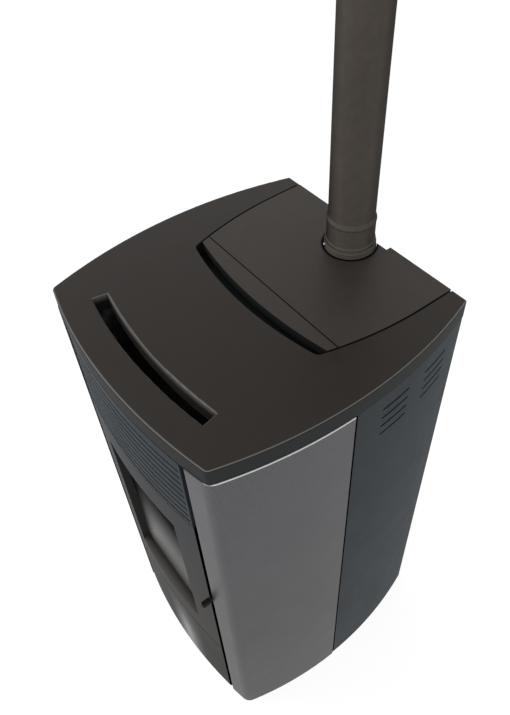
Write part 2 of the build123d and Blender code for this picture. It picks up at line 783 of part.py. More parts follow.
# Grille: bowed tray with a row of slanted louvres
with BuildPart() as grille:
    tray_half = grille_half - grille_wall
    with BuildSketch(Plane.XY.offset(grille_bottom)):
        add(front_block(front_inset, box_front_y, -grille_half, grille_half))
    extrude(amount=grille_top - grille_bottom)
    with BuildSketch(Plane.XY.offset(grille_bottom + 3)):
        add(front_block(front_inset + 8, box_front_y, -tray_half, tray_half))
    extrude(amount=grille_top - grille_bottom - 6, mode=Mode.SUBTRACT)
    with BuildSketch(Plane.XY.offset(grille_bottom + 7)):
        add(front_block(front_inset - 2, box_front_y, -tray_half, tray_half))
    extrude(amount=grille_top - grille_bottom - 14, mode=Mode.SUBTRACT)
    blade_r = front_r - front_inset - louvre_set
    blade_a = math.asin((grille_half - 3) / blade_r)
    start = Plane(origin=(0, front_cy, 0), x_dir=(-math.sin(blade_a), -math.cos(blade_a), 0),
                  z_dir=(-math.cos(blade_a), math.sin(blade_a), 0))
    louvres = round((grille_top - grille_bottom - 14) / louvre_pitch)
    first_z = grille_top - 1.2 - louvre_rise - louvre_pitch * (louvres - 1)
    for i in range(louvres):
        z = first_z + louvre_pitch * i
        with BuildSketch(start):
            with BuildLine():
                Polyline((blade_r, z), (blade_r, z + 10.5), (blade_r - 10, z + louvre_rise),
                         (blade_r - 10, z + louvre_rise - 3.5), (blade_r - 3, z + 8.5), (blade_r - 3, z), (blade_r, z))
            make_face()
        revolve(axis=Axis((0, front_cy, 0), (0, 0, 1)), revolution_arc=2 * math.degrees(blade_a))
grille.part.label = "grille"

# Lower front panel: bowed tray
with BuildPart() as lower_panel:
    with BuildSketch(Plane.XY.offset(lower_bottom)) as lower_plan:
        add(front_block(front_inset, -250, -front_half, front_half))
        fillet(lower_plan.vertices().group_by(Axis.Y)[0], 5)
    extrude(amount=lower_top - lower_bottom)
    with BuildSketch(Plane.XY.offset(base_bottom)):
        add(front_block(front_inset + 2.5, -240, -front_half + 2.5, front_half - 2.5))
    extrude(amount=lower_top - base_bottom - 2.5, mode=Mode.SUBTRACT)
    with BuildSketch(Plane.XY.offset(lower_bottom)):
        add(front_block(front_inset + 2.5, -240, -front_half + 2.5, front_half - 2.5))
    extrude(amount=1.5, mode=Mode.SUBTRACT)
lower_panel.part.label = "lower_panel"

# Door frame: bowed casting with a window, a flat glass seat and a seal rim
hinge_y = front_y(hinge_x, front_inset + door_skin + hinge_back)
with BuildPart() as door_frame:
    with BuildSketch(Plane.XY.offset(door_bottom)) as door_plan:
        add(front_block(front_inset, door_back_y, -front_half, front_half))
        fillet(door_plan.vertices().group_by(Axis.Y)[0], 3)
    extrude(amount=door_top - door_bottom)
    pocket = front_inset + door_skin
    rim_o = seal_x + 4
    rim_i = seal_x - 4
    ring = window_half + glass_lap + 2
    for z0, z1, x0, x1 in (
        (door_bottom, door_top, rim_o, front_half),
        (door_bottom, door_top, -front_half, -rim_o),
        (door_bottom, seal_bottom - 4, -rim_o, rim_o),
        (seal_top + 4, door_top, -rim_o, rim_o),
        (seal_bottom + 4, seal_top - 4, ring, rim_i),
        (seal_bottom + 4, seal_top - 4, -rim_i, -ring),
        (seal_bottom + 4, window_bottom - glass_lap - 2, -ring, ring),
        (window_top + glass_lap + 2, seal_top - 4, -ring, ring),
    ):
        with BuildSketch(Plane.XY.offset(z0)):
            add(front_block(pocket, door_back_y + 2, x0, x1))
        extrude(amount=z1 - z0, mode=Mode.SUBTRACT)
    with BuildSketch(y_plane(door_back_y + 1)):
        seat = glass_lap + glass_play
        add(span(-window_half - seat, window_half + seat, window_bottom - seat, window_top + seat))
    extrude(amount=door_back_y + 1 - glass_front_y + 1.2, mode=Mode.SUBTRACT)
    with BuildSketch(y_plane(-240)) as window_plan:
        add(span(-window_half, window_half, window_bottom, window_top))
        fillet(window_plan.vertices(), 4)
    extrude(amount=60, mode=Mode.SUBTRACT)
    for z in hinge_zs:
        with BuildSketch(Plane.XY.offset(z)):
            add(disc(hinge_x, hinge_y, knuckle_r))
        extrude(amount=knuckle_h)
        with BuildSketch(Plane.XY.offset(z)):
            add(disc(hinge_x, hinge_y, hinge_pin_r))
        extrude(amount=knuckle_h, mode=Mode.SUBTRACT)
    with BuildSketch(Plane.YZ.offset(latch_lug_x)):
        lug_front = front_y(latch_lug_x, front_inset + door_skin - 1)
        add(span(lug_front, latch_y + 8, latch_z - 10, latch_z + 10))
        add(disc(latch_y, latch_z, latch_pin_r + running_fit), mode=Mode.SUBTRACT)
    extrude(amount=6)
door_frame.part.label = "door_frame"

with BuildPart() as door_glass:
    with BuildSketch(y_plane(glass_front_y + glass_t)) as glass_plan:
        add(span(-window_half - glass_lap, window_half + glass_lap, window_bottom - glass_lap, window_top + glass_lap))
        fillet(glass_plan.vertices(), 3)
    extrude(amount=glass_t)
door_glass.part.label = "door_glass"

# Flat tape seal between the glass and its seat
with BuildPart() as glass_seal:
    with BuildSketch(y_plane(glass_front_y)):
        add(span(-window_half - glass_lap, window_half + glass_lap, window_bottom - glass_lap, window_top + glass_lap))
        add(span(-window_half - 1, window_half + 1, window_bottom - 1, window_top + 1), mode=Mode.SUBTRACT)
    extrude(amount=1.2)
glass_seal.part.label = "glass_seal"

# Clips that hold the glass, with their screws
clip_lap = window_half + glass_lap
clip_spots = [(s * (clip_lap + 3), z, 0) for s in (-1, 1) for z in (400, 690)]
clip_spots += [(x, z, 1) for x in (-70, 70) for z in (window_bottom - glass_lap - 3, window_top + glass_lap + 3)]


def clip_screw_at(x, z, flat):
    """Screw position of a clip, on its side away from the glass."""
    if flat:
        return x, z + math.copysign(5, z - 500)
    return x + math.copysign(5, x), z


with BuildPart() as glass_clips:
    with BuildSketch(y_plane(door_back_y + 1.6)):
        for x, z, flat in clip_spots:
            half_w = 11 if flat else 9
            half_h = 9 if flat else 11
            add(span(x - half_w, x + half_w, z - half_h, z + half_h))
    extrude(amount=1.6)
    with BuildSketch(y_plane(door_back_y)):
        for x, z, flat in clip_spots:
            if flat:
                edge = z - math.copysign(3.4, z - 500)
                far = z - math.copysign(9, z - 500)
                add(span(x - 11, x + 11, min(edge, far), max(edge, far)))
            else:
                edge = x - math.copysign(3.4, x)
                far = x - math.copysign(9, x)
                add(span(min(edge, far), max(edge, far), z - 11, z + 11))
    extrude(amount=door_back_y - glass_front_y - glass_t)
glass_clips.part.label = "glass_clips"

# Rope seal round the door
with BuildPart() as door_seal:
    with BuildLine() as seal_line:
        seal_y = door_back_y + seal_r
        with BuildLine(Plane.XZ.offset(-seal_y)):
            FilletPolyline((-seal_x, seal_bottom), (seal_x, seal_bottom), (seal_x, seal_top), (-seal_x, seal_top),
                           radius=10, close=True)
    with BuildSketch(Plane(origin=(0, seal_y, seal_bottom), z_dir=(1, 0, 0))):
        RegularPolygon(seal_r, 8, major_radius=False, rotation=22.5)
    sweep(path=seal_line.line)
door_seal.part.label = "door_seal"

with BuildPart() as clip_screws:
    with BuildSketch(y_plane(door_back_y + 3.4)):
        for spot in clip_spots:
            add(Pos(*clip_screw_at(*spot)) * RegularPolygon(3.6, 6, mode=Mode.PRIVATE))
    extrude(amount=1.8)
clip_screws.part.label = "clip_screws"

# Latch: tube peg and a flat hook on one plate in the gap beside the door
peg_back_y = front_y(latch_mid, 0) - peg_gap
with BuildPart() as door_latch:
    with BuildSketch(Plane.YZ.offset(latch_x0)):
        with BuildLine():
            Polyline((peg_back_y - 1, latch_z - 6), (-219, latch_z - 6), (-219, catch_z - 3.5), (-223, catch_z - 3.5),
                     (-223, latch_z + 2), (latch_y + 9, latch_z + 2), (latch_y + 5, latch_z + 6),
                     (peg_back_y - 1, latch_z + 6), (peg_back_y - 1, latch_z - 6))
        make_face()
    extrude(amount=latch_x1 - latch_x0)
    with BuildSketch(y_plane(peg_back_y)):
        add(disc(latch_mid, latch_z, peg_r))
    extrude(amount=peg_back_y - peg_front_y)
    chamfer(door_latch.edges().group_by(Axis.Y)[0], 1)
    with BuildSketch(y_plane(peg_front_y + 14)):
        add(disc(latch_mid, latch_z, peg_r - 2.2))
    extrude(amount=16, mode=Mode.SUBTRACT)
    with BuildSketch(Plane.YZ.offset(latch_lug_x - 1)):
        add(disc(latch_y, latch_z, latch_pin_r))
    extrude(amount=latch_x0 - latch_lug_x + 1)
door_latch.part.label = "door_latch"

# Catch for the hook, on the firebox's side
with BuildPart() as latch_catch:
    with BuildSketch(Plane.YZ.offset(box_half)):
        add(span(catch_y - 12, catch_y + 16, catch_z - 14, catch_z + 30))
    extrude(amount=3)
    with BuildSketch(Plane.YZ.offset(box_half)):
        add(disc(catch_y, catch_z, 3))
    extrude(amount=latch_x1 + 1 - box_half)
latch_catch.part.label = "latch_catch"

# Hinge brackets on the firebox, each with two ears, and the pins in the door
with BuildPart() as hinge_brackets:
    for z in hinge_zs:
        with BuildSketch(Plane.XY.offset(z - 8)):
            add(span(-box_half - 4, -box_half, -250, -222))
        extrude(amount=knuckle_h + 16)
        for ear in (z - 4.4, z + knuckle_h + 0.4):
            with BuildSketch(Plane.XY.offset(ear)):
                with BuildLine():
                    Polyline((hinge_x - 4.6, hinge_y + 3), (hinge_x + 4.6, hinge_y - 3), (-box_half - 4, -246),
                             (-box_half - 4, -226), (hinge_x - 4.6, hinge_y + 3))
                make_face()
                add(faceted(hinge_x, hinge_y, ear_r, 12))
                add(disc(hinge_x, hinge_y, hinge_pin_r + running_fit), mode=Mode.SUBTRACT)
            extrude(amount=ear_t)
hinge_brackets.part.label = "hinge_brackets"

with BuildPart() as hinge_pins:
    for z in hinge_zs:
        with BuildSketch(Plane.XY.offset(z - 6)):
            add(disc(hinge_x, hinge_y, hinge_pin_r))
        extrude(amount=knuckle_h + 12)
hinge_pins.part.label = "hinge_pins"

# Firebox: welded shell with a front frame, mouth, floor outlets and duct holes
duct_xs = [duct_pitch * (i - (duct_count - 1) / 2) for i in range(duct_count)]
with BuildPart() as firebox:
    with BuildSketch(Plane.XY.offset(box_bottom)):
        add(span(-box_half, box_half, box_front_y, box_back_y))
    extrude(amount=box_top - box_bottom)
    with BuildSketch(Plane.XY.offset(box_plate_bottom)):
        add(span(-box_half, box_half, box_front_y, box_front_y + box_t))
    extrude(amount=box_top - box_plate_bottom)
    with BuildSketch(Plane.XY.offset(floor_top)):
        add(span(-box_half + box_t, box_half - box_t, box_front_y + box_t, box_back_y - box_t))
    extrude(amount=box_top - floor_top - box_t, mode=Mode.SUBTRACT)
    with BuildSketch(y_plane(box_front_y + box_t)):
        add(span(-mouth_half, mouth_half, floor_top, mouth_top))
    extrude(amount=box_t, mode=Mode.SUBTRACT)
    with BuildSketch(y_plane(box_back_y)):
        add(span(-chute_half - 1, chute_half + 1, 492, 590))
        add(disc(air_x, air_z, air_r))
        add(faceted(0, igniter_z, igniter_r + 0.1, 12))
    extrude(amount=box_t, mode=Mode.SUBTRACT)
    with BuildSketch(y_plane(box_back_y)):
        for x in duct_xs:
            add(span(x - duct_half, x + duct_half, duct_bottom, duct_top))
    extrude(amount=box_back_y - box_front_y, mode=Mode.SUBTRACT)
    with BuildSketch(Plane.XY.offset(box_bottom)):
        for s in (-1, 1):
            add(span(*sorted((s * (box_half - 24), s * (box_half - 6))), -195, -45))
    extrude(amount=box_t, mode=Mode.SUBTRACT)
firebox.part.label = "firebox"

with BuildPart() as exchanger_tubes:
    with BuildSketch(y_plane(box_back_y + 4)):
        for x in duct_xs:
            add(span(x - duct_half, x + duct_half, duct_bottom, duct_top))
            add(span(x - duct_half + duct_t, x + duct_half - duct_t, duct_bottom + duct_t, duct_top - duct_t),
                mode=Mode.SUBTRACT)
    extrude(amount=box_back_y - box_front_y + 8)
exchanger_tubes.part.label = "exchanger_tubes"

# Refractory lining
with BuildPart() as fire_back:
    with BuildSketch(y_plane(box_back_y - box_t)):
        add(span(15 - box_half, box_half - 15, plenum_top + 4, liner_top))
        add(span(-chute_half - 2, chute_half + 2, 480, 590), mode=Mode.SUBTRACT)
        for x in (-110, -66, 66, 110):
            add(span(x - 4, x + 4, 400, liner_top - 40), mode=Mode.SUBTRACT)
    extrude(amount=liner_t)
    with BuildSketch(y_plane(box_back_y - box_t)):
        add(span(15 - box_half, box_half - 15, plenum_top + 4, liner_top))
        add(span(-chute_half - 2, chute_half + 2, 480, 590), mode=Mode.SUBTRACT)
    extrude(amount=liner_t / 2)
fire_back.part.label = "fire_back"

with BuildPart() as fire_sides:
    with BuildSketch(Plane.XY.offset(floor_top)):
        for s in (-1, 1):
            add(span(*sorted((s * (box_half - 39), s * (box_half - 27))), -240, box_back_y - box_t - liner_t - 1))
    extrude(amount=liner_top - floor_top)
fire_sides.part.label = "fire_sides"

with BuildPart() as baffle:
    with BuildSketch(Plane.XY.offset(liner_top)):
        add(span(25 - box_half, box_half - 25, -200, box_back_y - box_t - 1))
    extrude(amount=liner_t)
baffle.part.label = "baffle"

# Burner: air plenum, perforated pot, igniter and ash pan
with BuildPart() as air_plenum:
    plenum_back = box_back_y - box_t
    with BuildSketch(Plane.XY.offset(plenum_bottom)):
        add(span(plenum_left, plenum_right, plenum_front_y, plenum_back))
    extrude(amount=plenum_top - plenum_bottom)
    with BuildSketch(Plane.XY.offset(plenum_bottom + plenum_t)):
        add(span(plenum_left + plenum_t, plenum_right - plenum_t, plenum_front_y + plenum_t, plenum_back - plenum_t))
    extrude(amount=plenum_top - plenum_bottom - 2 * plenum_t, mode=Mode.SUBTRACT)
    with BuildSketch(Plane.XY.offset(plenum_top - plenum_t - 1)):
        add(span(-pot_half_x - 1, pot_half_x + 1, pot_y - pot_half_y - 1, pot_y + pot_half_y + 1))
    extrude(amount=plenum_t + 2, mode=Mode.SUBTRACT)
    with BuildSketch(y_plane(plenum_back)):
        add(disc(air_x, air_z, air_r))
        add(faceted(0, igniter_z, igniter_r + 0.1, 12))
    extrude(amount=plenum_t + 1, mode=Mode.SUBTRACT)
air_plenum.part.label = "air_plenum"


def pot_body(wall, low):
    """Cup of the burn pot, straight below and flared above, set in by a wall."""
    knee = plenum_top + body_gap
    top = pot_top + (1 if wall else 0)
    half_y = pot_half_y - wall
    half_x = pot_half_x - wall
    side = [(pot_y - half_y, low), (pot_y - half_y, knee), (pot_y - half_y - pot_flare_y, top),
            (pot_y + half_y + pot_flare_y, top), (pot_y + half_y, knee), (pot_y + half_y, low)]
    front = [(-half_x, low), (-half_x, knee), (-half_x - pot_flare_x, top),
             (half_x + pot_flare_x, top), (half_x, knee), (half_x, low)]
    return crossed(side, front)


with BuildPart() as burn_pot:
    pot_base = plenum_top - 24
    add(pot_body(0, pot_base))
    with BuildSketch(Plane.XY.offset(plenum_top + body_gap)):
        add(span(-pot_half_x - 9, pot_half_x + 9, pot_y - pot_half_y - 9, pot_y + pot_half_y + 9))
    extrude(amount=3.5)
    add(pot_body(pot_wall, pot_base + pot_wall), mode=Mode.SUBTRACT)
    with BuildSketch(Plane.XY.offset(pot_base)):
        with Locations((0, pot_y)):
            with GridLocations(16, 1, 4, 1):
                Rectangle(5, 2 * pot_half_y - 30)
    extrude(amount=pot_wall, mode=Mode.SUBTRACT)
    with BuildSketch(y_plane(pot_y)):
        with Locations((0, pot_top - 22)):
            with GridLocations(26, 20, 3, 1):
                Rectangle(12, 5)
    extrude(amount=70, both=True, mode=Mode.SUBTRACT)
    with BuildSketch(y_plane(pot_y + pot_half_y + 1)):
        add(faceted(0, igniter_z, 7, 12))
    extrude(amount=8, mode=Mode.SUBTRACT)
burn_pot.part.label = "burn_pot"

with BuildPart() as igniter:
    tip_y = pot_y + pot_half_y + 4
    with BuildSketch(y_plane(40)):
        add(faceted(0, igniter_z, igniter_r, 12))
    extrude(amount=40 - tip_y)
    with BuildSketch(y_plane(tip_y + 12)):
        add(faceted(0, igniter_z, 7, 12))
    extrude(amount=16, mode=Mode.SUBTRACT)
    with BuildSketch(y_plane(40)):
        add(faceted(0, igniter_z, 5, 12))
    extrude(amount=39 - tip_y)
    with BuildSketch(y_plane(52)):
        add(faceted(0, igniter_z, 6, 6))
    extrude(amount=12)
igniter.part.label = "igniter"

with BuildPart() as ash_pan:
    with BuildSketch(Plane.XY.offset(floor_top + body_gap)):
        add(span(5 - mouth_half, mouth_half - 5, -226, -26))
    extrude(amount=22)
    with BuildSketch(Plane.XY.offset(floor_top + body_gap + 1.5)):
        add(span(6.5 - mouth_half, mouth_half - 6.5, -224.5, -27.5))
    extrude(amount=21, mode=Mode.SUBTRACT)
    with BuildSketch(y_plane(-226)):
        add(span(-30, 30, 292, 296))
    extrude(amount=14)
    with BuildSketch(y_plane(-237)):
        add(span(-30, 30, 284, 296))
    extrude(amount=3)
ash_pan.part.label = "ash_pan"

# Smoke box under the firebox, with a duct back to the exhaust fan
with BuildPart() as smoke_box:
    with BuildSketch(Plane.XY.offset(smoke_bottom)):
        add(span(-smoke_half, smoke_half, -205, -30))
    extrude(amount=box_bottom - smoke_bottom)
    with BuildSketch(Plane.XY.offset(duct_z0)):
        add(span(duct_x0, duct_x1, -60, fan_front_y))
    extrude(amount=smoke_bottom + smoke_t - duct_z0)
    with BuildSketch(Plane.XY.offset(smoke_bottom + smoke_t)):
        add(span(smoke_t - smoke_half, smoke_half - smoke_t, -203, -32))
    extrude(amount=box_bottom - smoke_bottom - smoke_t, mode=Mode.SUBTRACT)
    with BuildSketch(Plane.XY.offset(duct_z0 + smoke_t)):
        add(span(duct_x0 + smoke_t, duct_x1 - smoke_t, -58, -32))
    extrude(amount=smoke_bottom - duct_z0, mode=Mode.SUBTRACT)
    with BuildSketch(Plane.XY.offset(duct_z0 + smoke_t)):
        add(span(duct_x0 + smoke_t, duct_x1 - smoke_t, -58, fan_front_y - smoke_t))
    extrude(amount=smoke_bottom - duct_z0 - smoke_t, mode=Mode.SUBTRACT)
    with BuildSketch(y_plane(fan_front_y)):
        add(faceted(fan_x, fan_z, fan_inlet_r, 24))
    extrude(amount=smoke_t, mode=Mode.SUBTRACT)
    with BuildSketch(Plane.XY.offset(base_top)):
        for x in (-150, 150):
            for y in (-180, -60):
                add(span(x - 8, x + 8, y - 8, y + 8))
    extrude(amount=smoke_bottom - base_top)
smoke_box.part.label = "smoke_box"


def volute_plan(wall):
    """Snail outline of the exhaust fan's casing, seen from the front."""
    r = fan_scroll_r - wall
    turns = [math.radians(180 + 22.5 * i) for i in range(9)]
    points = [(fan_x - 6 + r * math.cos(a), fan_z + r * math.sin(a)) for a in turns]
    points += [(120 - 0.7 * wall, fan_z + 50 - 0.7 * wall), (98 - 0.4 * wall, fan_z + 65 - wall),
               (72, fan_z + 70 - wall), (50, fan_z + 66 - wall), (30 - wall, fan_z + 52 - wall),
               (30 - wall, fan_top), (wall - 30, fan_top), (points[0][0], fan_z + 1)]
    with BuildSketch() as plan:
        with BuildLine():
            Polyline(*points, points[0])
        make_face()
    return plan.sketch


with BuildPart() as exhaust_casing:
    with BuildSketch(y_plane(fan_back_y)):
        add(volute_plan(0))
    extrude(amount=fan_back_y - fan_front_y)
    with BuildSketch(y_plane(fan_back_y - fan_wall)):
        add(volute_plan(fan_wall))
    extrude(amount=fan_back_y - fan_front_y - 2 * fan_wall, mode=Mode.SUBTRACT)
    with BuildSketch(y_plane(fan_front_y + fan_wall)):
        add(faceted(fan_x, fan_z, fan_inlet_r, 24))
    extrude(amount=fan_wall, mode=Mode.SUBTRACT)
    with BuildSketch(y_plane(fan_back_y)):
        add(faceted(fan_x, fan_z, fan_shaft_r + 2, 12))
    extrude(amount=fan_wall, mode=Mode.SUBTRACT)
exhaust_casing.part.label = "exhaust_casing"

with BuildPart() as exhaust_rotor:
    with BuildSketch(y_plane(fan_back_y - 5)):
        add(faceted(fan_x, fan_z, fan_wheel_r, 24))
    extrude(amount=2)
    with BuildSketch(y_plane(fan_back_y - 7)):
        with Locations((fan_x, fan_z)):
            with PolarLocations(fan_wheel_r - 15, 10):
                Rectangle(28, 1.8)
    extrude(amount=30)
    with BuildSketch(y_plane(fan_back_y - 7)):
        add(faceted(fan_x, fan_z, 9, 12))
    extrude(amount=14)
    with BuildSketch(y_plane(fan_back_y + 44)):
        add(disc(fan_x, fan_z, fan_shaft_r))
    extrude(amount=52)
exhaust_rotor.part.label = "exhaust_rotor"

with BuildPart() as exhaust_motor:
    with BuildSketch(y_plane(fan_back_y + 56)):
        add(faceted(fan_x, fan_z, 36, 24))
    extrude(amount=44)
    with BuildSketch(y_plane(fan_back_y + 12)):
        add(span(fan_x - 15, fan_x + 15, fan_z - 15, fan_z + 15))
    extrude(amount=12)
    with BuildSketch(y_plane(fan_back_y + 2)):
        add(span(fan_x - 32, fan_x + 32, fan_z - 32, fan_z + 32))
    extrude(amount=2)
    with BuildSketch(y_plane(fan_back_y + 46)):
        add(disc(fan_x, fan_z, fan_shaft_r + running_fit))
    extrude(amount=46, mode=Mode.SUBTRACT)
exhaust_motor.part.label = "exhaust_motor"

# Exhaust path: offset adapter, riser, clamp collar and the outer pipe
with BuildPart() as flue_adapter:
    back = flue_y + flue_r - 0.5
    front = flue_y - flue_r - 3
    with BuildSketch(Plane.YZ.offset(-adapter_half)):
        with BuildLine():
            Polyline((fan_front_y, fan_top), (fan_back_y, fan_top), (back, 284), (back, adapter_top),
                     (front, adapter_top), (fan_front_y, 272), (fan_front_y, fan_top))
        make_face()
    extrude(amount=2 * adapter_half)
    with BuildSketch(Plane.YZ.offset(adapter_wall - adapter_half)):
        with BuildLine():
            Polyline((fan_front_y + 2, fan_top + 2), (fan_back_y - 1, fan_top + 2), (back - 2, 285),
                     (back - 2, adapter_top - 2), (front + 1, adapter_top - 2), (fan_front_y + 2, 271),
                     (fan_front_y + 2, fan_top + 2))
        make_face()
    extrude(amount=2 * (adapter_half - adapter_wall), mode=Mode.SUBTRACT)
    with BuildSketch(Plane.XY.offset(fan_top)):
        add(span(-28, 28, fan_front_y + 2, fan_back_y - 2))
    extrude(amount=2, mode=Mode.SUBTRACT)
    with BuildSketch(Plane.XY.offset(adapter_top - 2)):
        add(disc(0, flue_y, flue_r - flue_t) & span(-flue_r, flue_r, flue_y - flue_r, back - 2))
    extrude(amount=2, mode=Mode.SUBTRACT)
flue_adapter.part.label = "flue_adapter"

with BuildPart() as flue_riser:
    with BuildSketch(Plane.XY.offset(adapter_top)):
        add(disc(0, flue_y, flue_r))
        add(disc(0, flue_y, flue_r - flue_t), mode=Mode.SUBTRACT)
    extrude(amount=pipe_bottom + socket_l + 2 - adapter_top)
flue_riser.part.label = "flue_riser"

with BuildPart() as flue_collar:
    with BuildSketch(Plane(origin=(0, flue_y, 0), x_dir=(1, 0, 0), z_dir=(0, -1, 0))):
        with BuildLine():
            Polyline((flue_r, collar_bottom), (collar_r, collar_bottom), (collar_r, collar_bottom + 6.5),
                     (collar_r - 1, collar_bottom + 7.5), (collar_r, collar_bottom + 8.5), (collar_r, collar_top - 1),
                     (collar_r - 1, collar_top), (flue_r, collar_top), (flue_r, collar_bottom))
        make_face()
    revolve(axis=Axis((0, flue_y, 0), (0, 0, 1)), revolution_arc=360)
    with BuildSketch(Plane.XY.offset(collar_bottom)):
        with Locations(Location((0, flue_y, 0), (0, 0, 225))):
            with Locations((flue_r + collar_t / 2, 0)):
                Rectangle(3 * collar_t, collar_slit)
    extrude(amount=collar_top - collar_bottom, mode=Mode.SUBTRACT)
flue_collar.part.label = "flue_collar"

with BuildPart() as collar_screw:
    screw_a = math.radians(240)
    screw_dir = (math.cos(screw_a), math.sin(screw_a), 0)
    screw_z = (collar_bottom + collar_top) / 2
    screw_at = (screw_dir[0] * collar_r, flue_y + screw_dir[1] * collar_r, screw_z)
    screw_tip = (screw_dir[0] * (collar_r + 9), flue_y + screw_dir[1] * (collar_r + 9), screw_z)
    with BuildSketch(Plane(origin=screw_at, z_dir=screw_dir)):
        RegularPolygon(3.6, 12)
    extrude(amount=screw_h)
    outer = collar_screw.faces().sort_by_distance(screw_tip)[0]
    chamfer(outer.edges(), 0.4 * screw_h)
collar_screw.part.label = "collar_screw"

with BuildPart() as flue_pipe:
    z0 = pipe_bottom
    z1 = pipe_bottom + socket_l
    with BuildSketch(Plane(origin=(0, flue_y, 0), x_dir=(1, 0, 0), z_dir=(0, -1, 0))):
        with BuildLine():
            Polyline((flue_r + socket_fit, z0), (socket_r + 1.4, z0), (socket_r + 1.4, z0 + 6), (socket_r, z0 + 8),
                     (socket_r, z1), (socket_r + bead_h, z1 + 2), (socket_r + bead_h, z1 + 5),
                     (socket_r, z1 + 7), (flue_r, z1 + 12), (flue_r, pipe_top), (flue_r - flue_t, pipe_top),
                     (flue_r - flue_t, z1 + 11), (flue_r + socket_fit, z1 + 6), (flue_r + socket_fit, z0))
        make_face()
    revolve(axis=Axis((0, flue_y, 0), (0, 0, 1)), revolution_arc=360)
flue_pipe.part.label = "flue_pipe"

# Combustion air inlet from the rear to the plenum, with a stop ring outside the cover
with BuildPart() as air_inlet_tube:
    with BuildSketch(y_plane(air_end_y)):
        add(disc(air_x, air_z, air_r))
        add(disc(air_x, air_z, air_r - air_t), mode=Mode.SUBTRACT)
    extrude(amount=air_end_y - box_back_y + box_t + 2)
    with BuildSketch(y_plane(cover_back + body_gap + air_ring_t)):
        add(faceted(air_x, air_z, air_ring_r, 24))
        add(disc(air_x, air_z, air_r - air_t / 2), mode=Mode.SUBTRACT)
    extrude(amount=air_ring_t)
air_inlet_tube.part.label = "air_inlet_tube"

# Convection blower: cross-flow drum in a scroll, blowing up behind the firebox
with BuildPart() as blower_casing:
    with BuildSketch(Plane.YZ.offset(-blower_half - 6)):
        add(faceted(blower_y, blower_z, blower_r + 7, 24))
        add(span(blower_y - blower_r - 7, blower_y - 4, blower_z, 126))
    extrude(amount=2 * blower_half + 12)
    with BuildSketch(Plane.YZ.offset(-blower_half - 4)):
        add(faceted(blower_y, blower_z, blower_r + 5, 24))
        add(span(blower_y - blower_r - 5, blower_y - 6, blower_z, 127))
        add(span(blower_y, blower_y + 40, blower_z - 22, blower_z + 18))
    extrude(amount=2 * blower_half + 8, mode=Mode.SUBTRACT)
    with BuildSketch(Plane.YZ.offset(-blower_half - 7)):
        add(faceted(blower_y, blower_z, blower_shaft_r + 0.7, 12))
    extrude(amount=2 * blower_half + 14, mode=Mode.SUBTRACT)
    for x in (-blower_half - 6, blower_half + 4):
        with BuildSketch(Plane.YZ.offset(x)):
            add(span(blower_y - 22, blower_y + 22, base_top, blower_z - 26))
        extrude(amount=2)
blower_casing.part.label = "blower_casing"

with BuildPart() as blower_rotor:
    for x in (-blower_half, -1, blower_half - 2):
        with BuildSketch(Plane.YZ.offset(x)):
            add(faceted(blower_y, blower_z, blower_r, 24))
        extrude(amount=2)
    with BuildSketch(Plane.YZ.offset(-blower_half)):
        with Locations((blower_y, blower_z)):
            with PolarLocations(blower_r - 5, 12):
                Rectangle(8, 1.2)
    extrude(amount=2 * blower_half)
    with BuildSketch(Plane.YZ.offset(-blower_half - 14)):
        add(disc(blower_y, blower_z, blower_shaft_r))
    extrude(amount=2 * blower_half + 50)
blower_rotor.part.label = "blower_rotor"

with BuildPart() as blower_motor:
    with BuildSketch(Plane.YZ.offset(blower_half + 6)):
        add(faceted(blower_y, blower_z, 26, 24))
    extrude(amount=44)
    with BuildSketch(Plane.YZ.offset(blower_half + 6)):
        add(disc(blower_y, blower_z, blower_shaft_r + running_fit))
    extrude(amount=32, mode=Mode.SUBTRACT)
blower_motor.part.label = "blower_motor"

# Electrical parts
board_x = frame_x - 9.5
with BuildPart() as control_board:
    with BuildSketch(Plane.YZ.offset(board_x)):
        add(span(15, 185, 410, 610))
    extrude(amount=1.6)
    with BuildSketch(Plane.YZ.offset(board_x + 1)):
        for y in (19, 181):
            for z in (420, 600):
                add(span(y - 3, y + 3, z - 3, z + 3))
    extrude(amount=frame_x - board_x - 1)
    for y0, y1, z0, z1, h in (
        (32, 78, 444, 490, 30), (92, 110, 444, 456, 16), (118, 136, 444, 456, 16), (144, 162, 444, 456, 16),
        (92, 122, 500, 530, 6), (40, 70, 510, 540, 14), (40, 160, 562, 576, 10),
    ):
        with BuildSketch(Plane.YZ.offset(board_x - h)):
            add(span(y0, y1, z0, z1))
        extrude(amount=h + 0.5)
control_board.part.label = "control_board"

with BuildPart() as pressure_switch:
    with BuildSketch(Plane.YZ.offset(-frame_x)):
        add(faceted(switch_y, switch_z, 28, 24))
    extrude(amount=16)
    with BuildSketch(Plane.YZ.offset(16 - frame_x)):
        add(faceted(switch_y, switch_z, 16, 16))
    extrude(amount=10)
    with BuildSketch(Plane.XY.offset(switch_z + 20)):
        add(faceted(8 - frame_x, switch_y, 3, 8))
    extrude(amount=20)
pressure_switch.part.label = "pressure_switch"

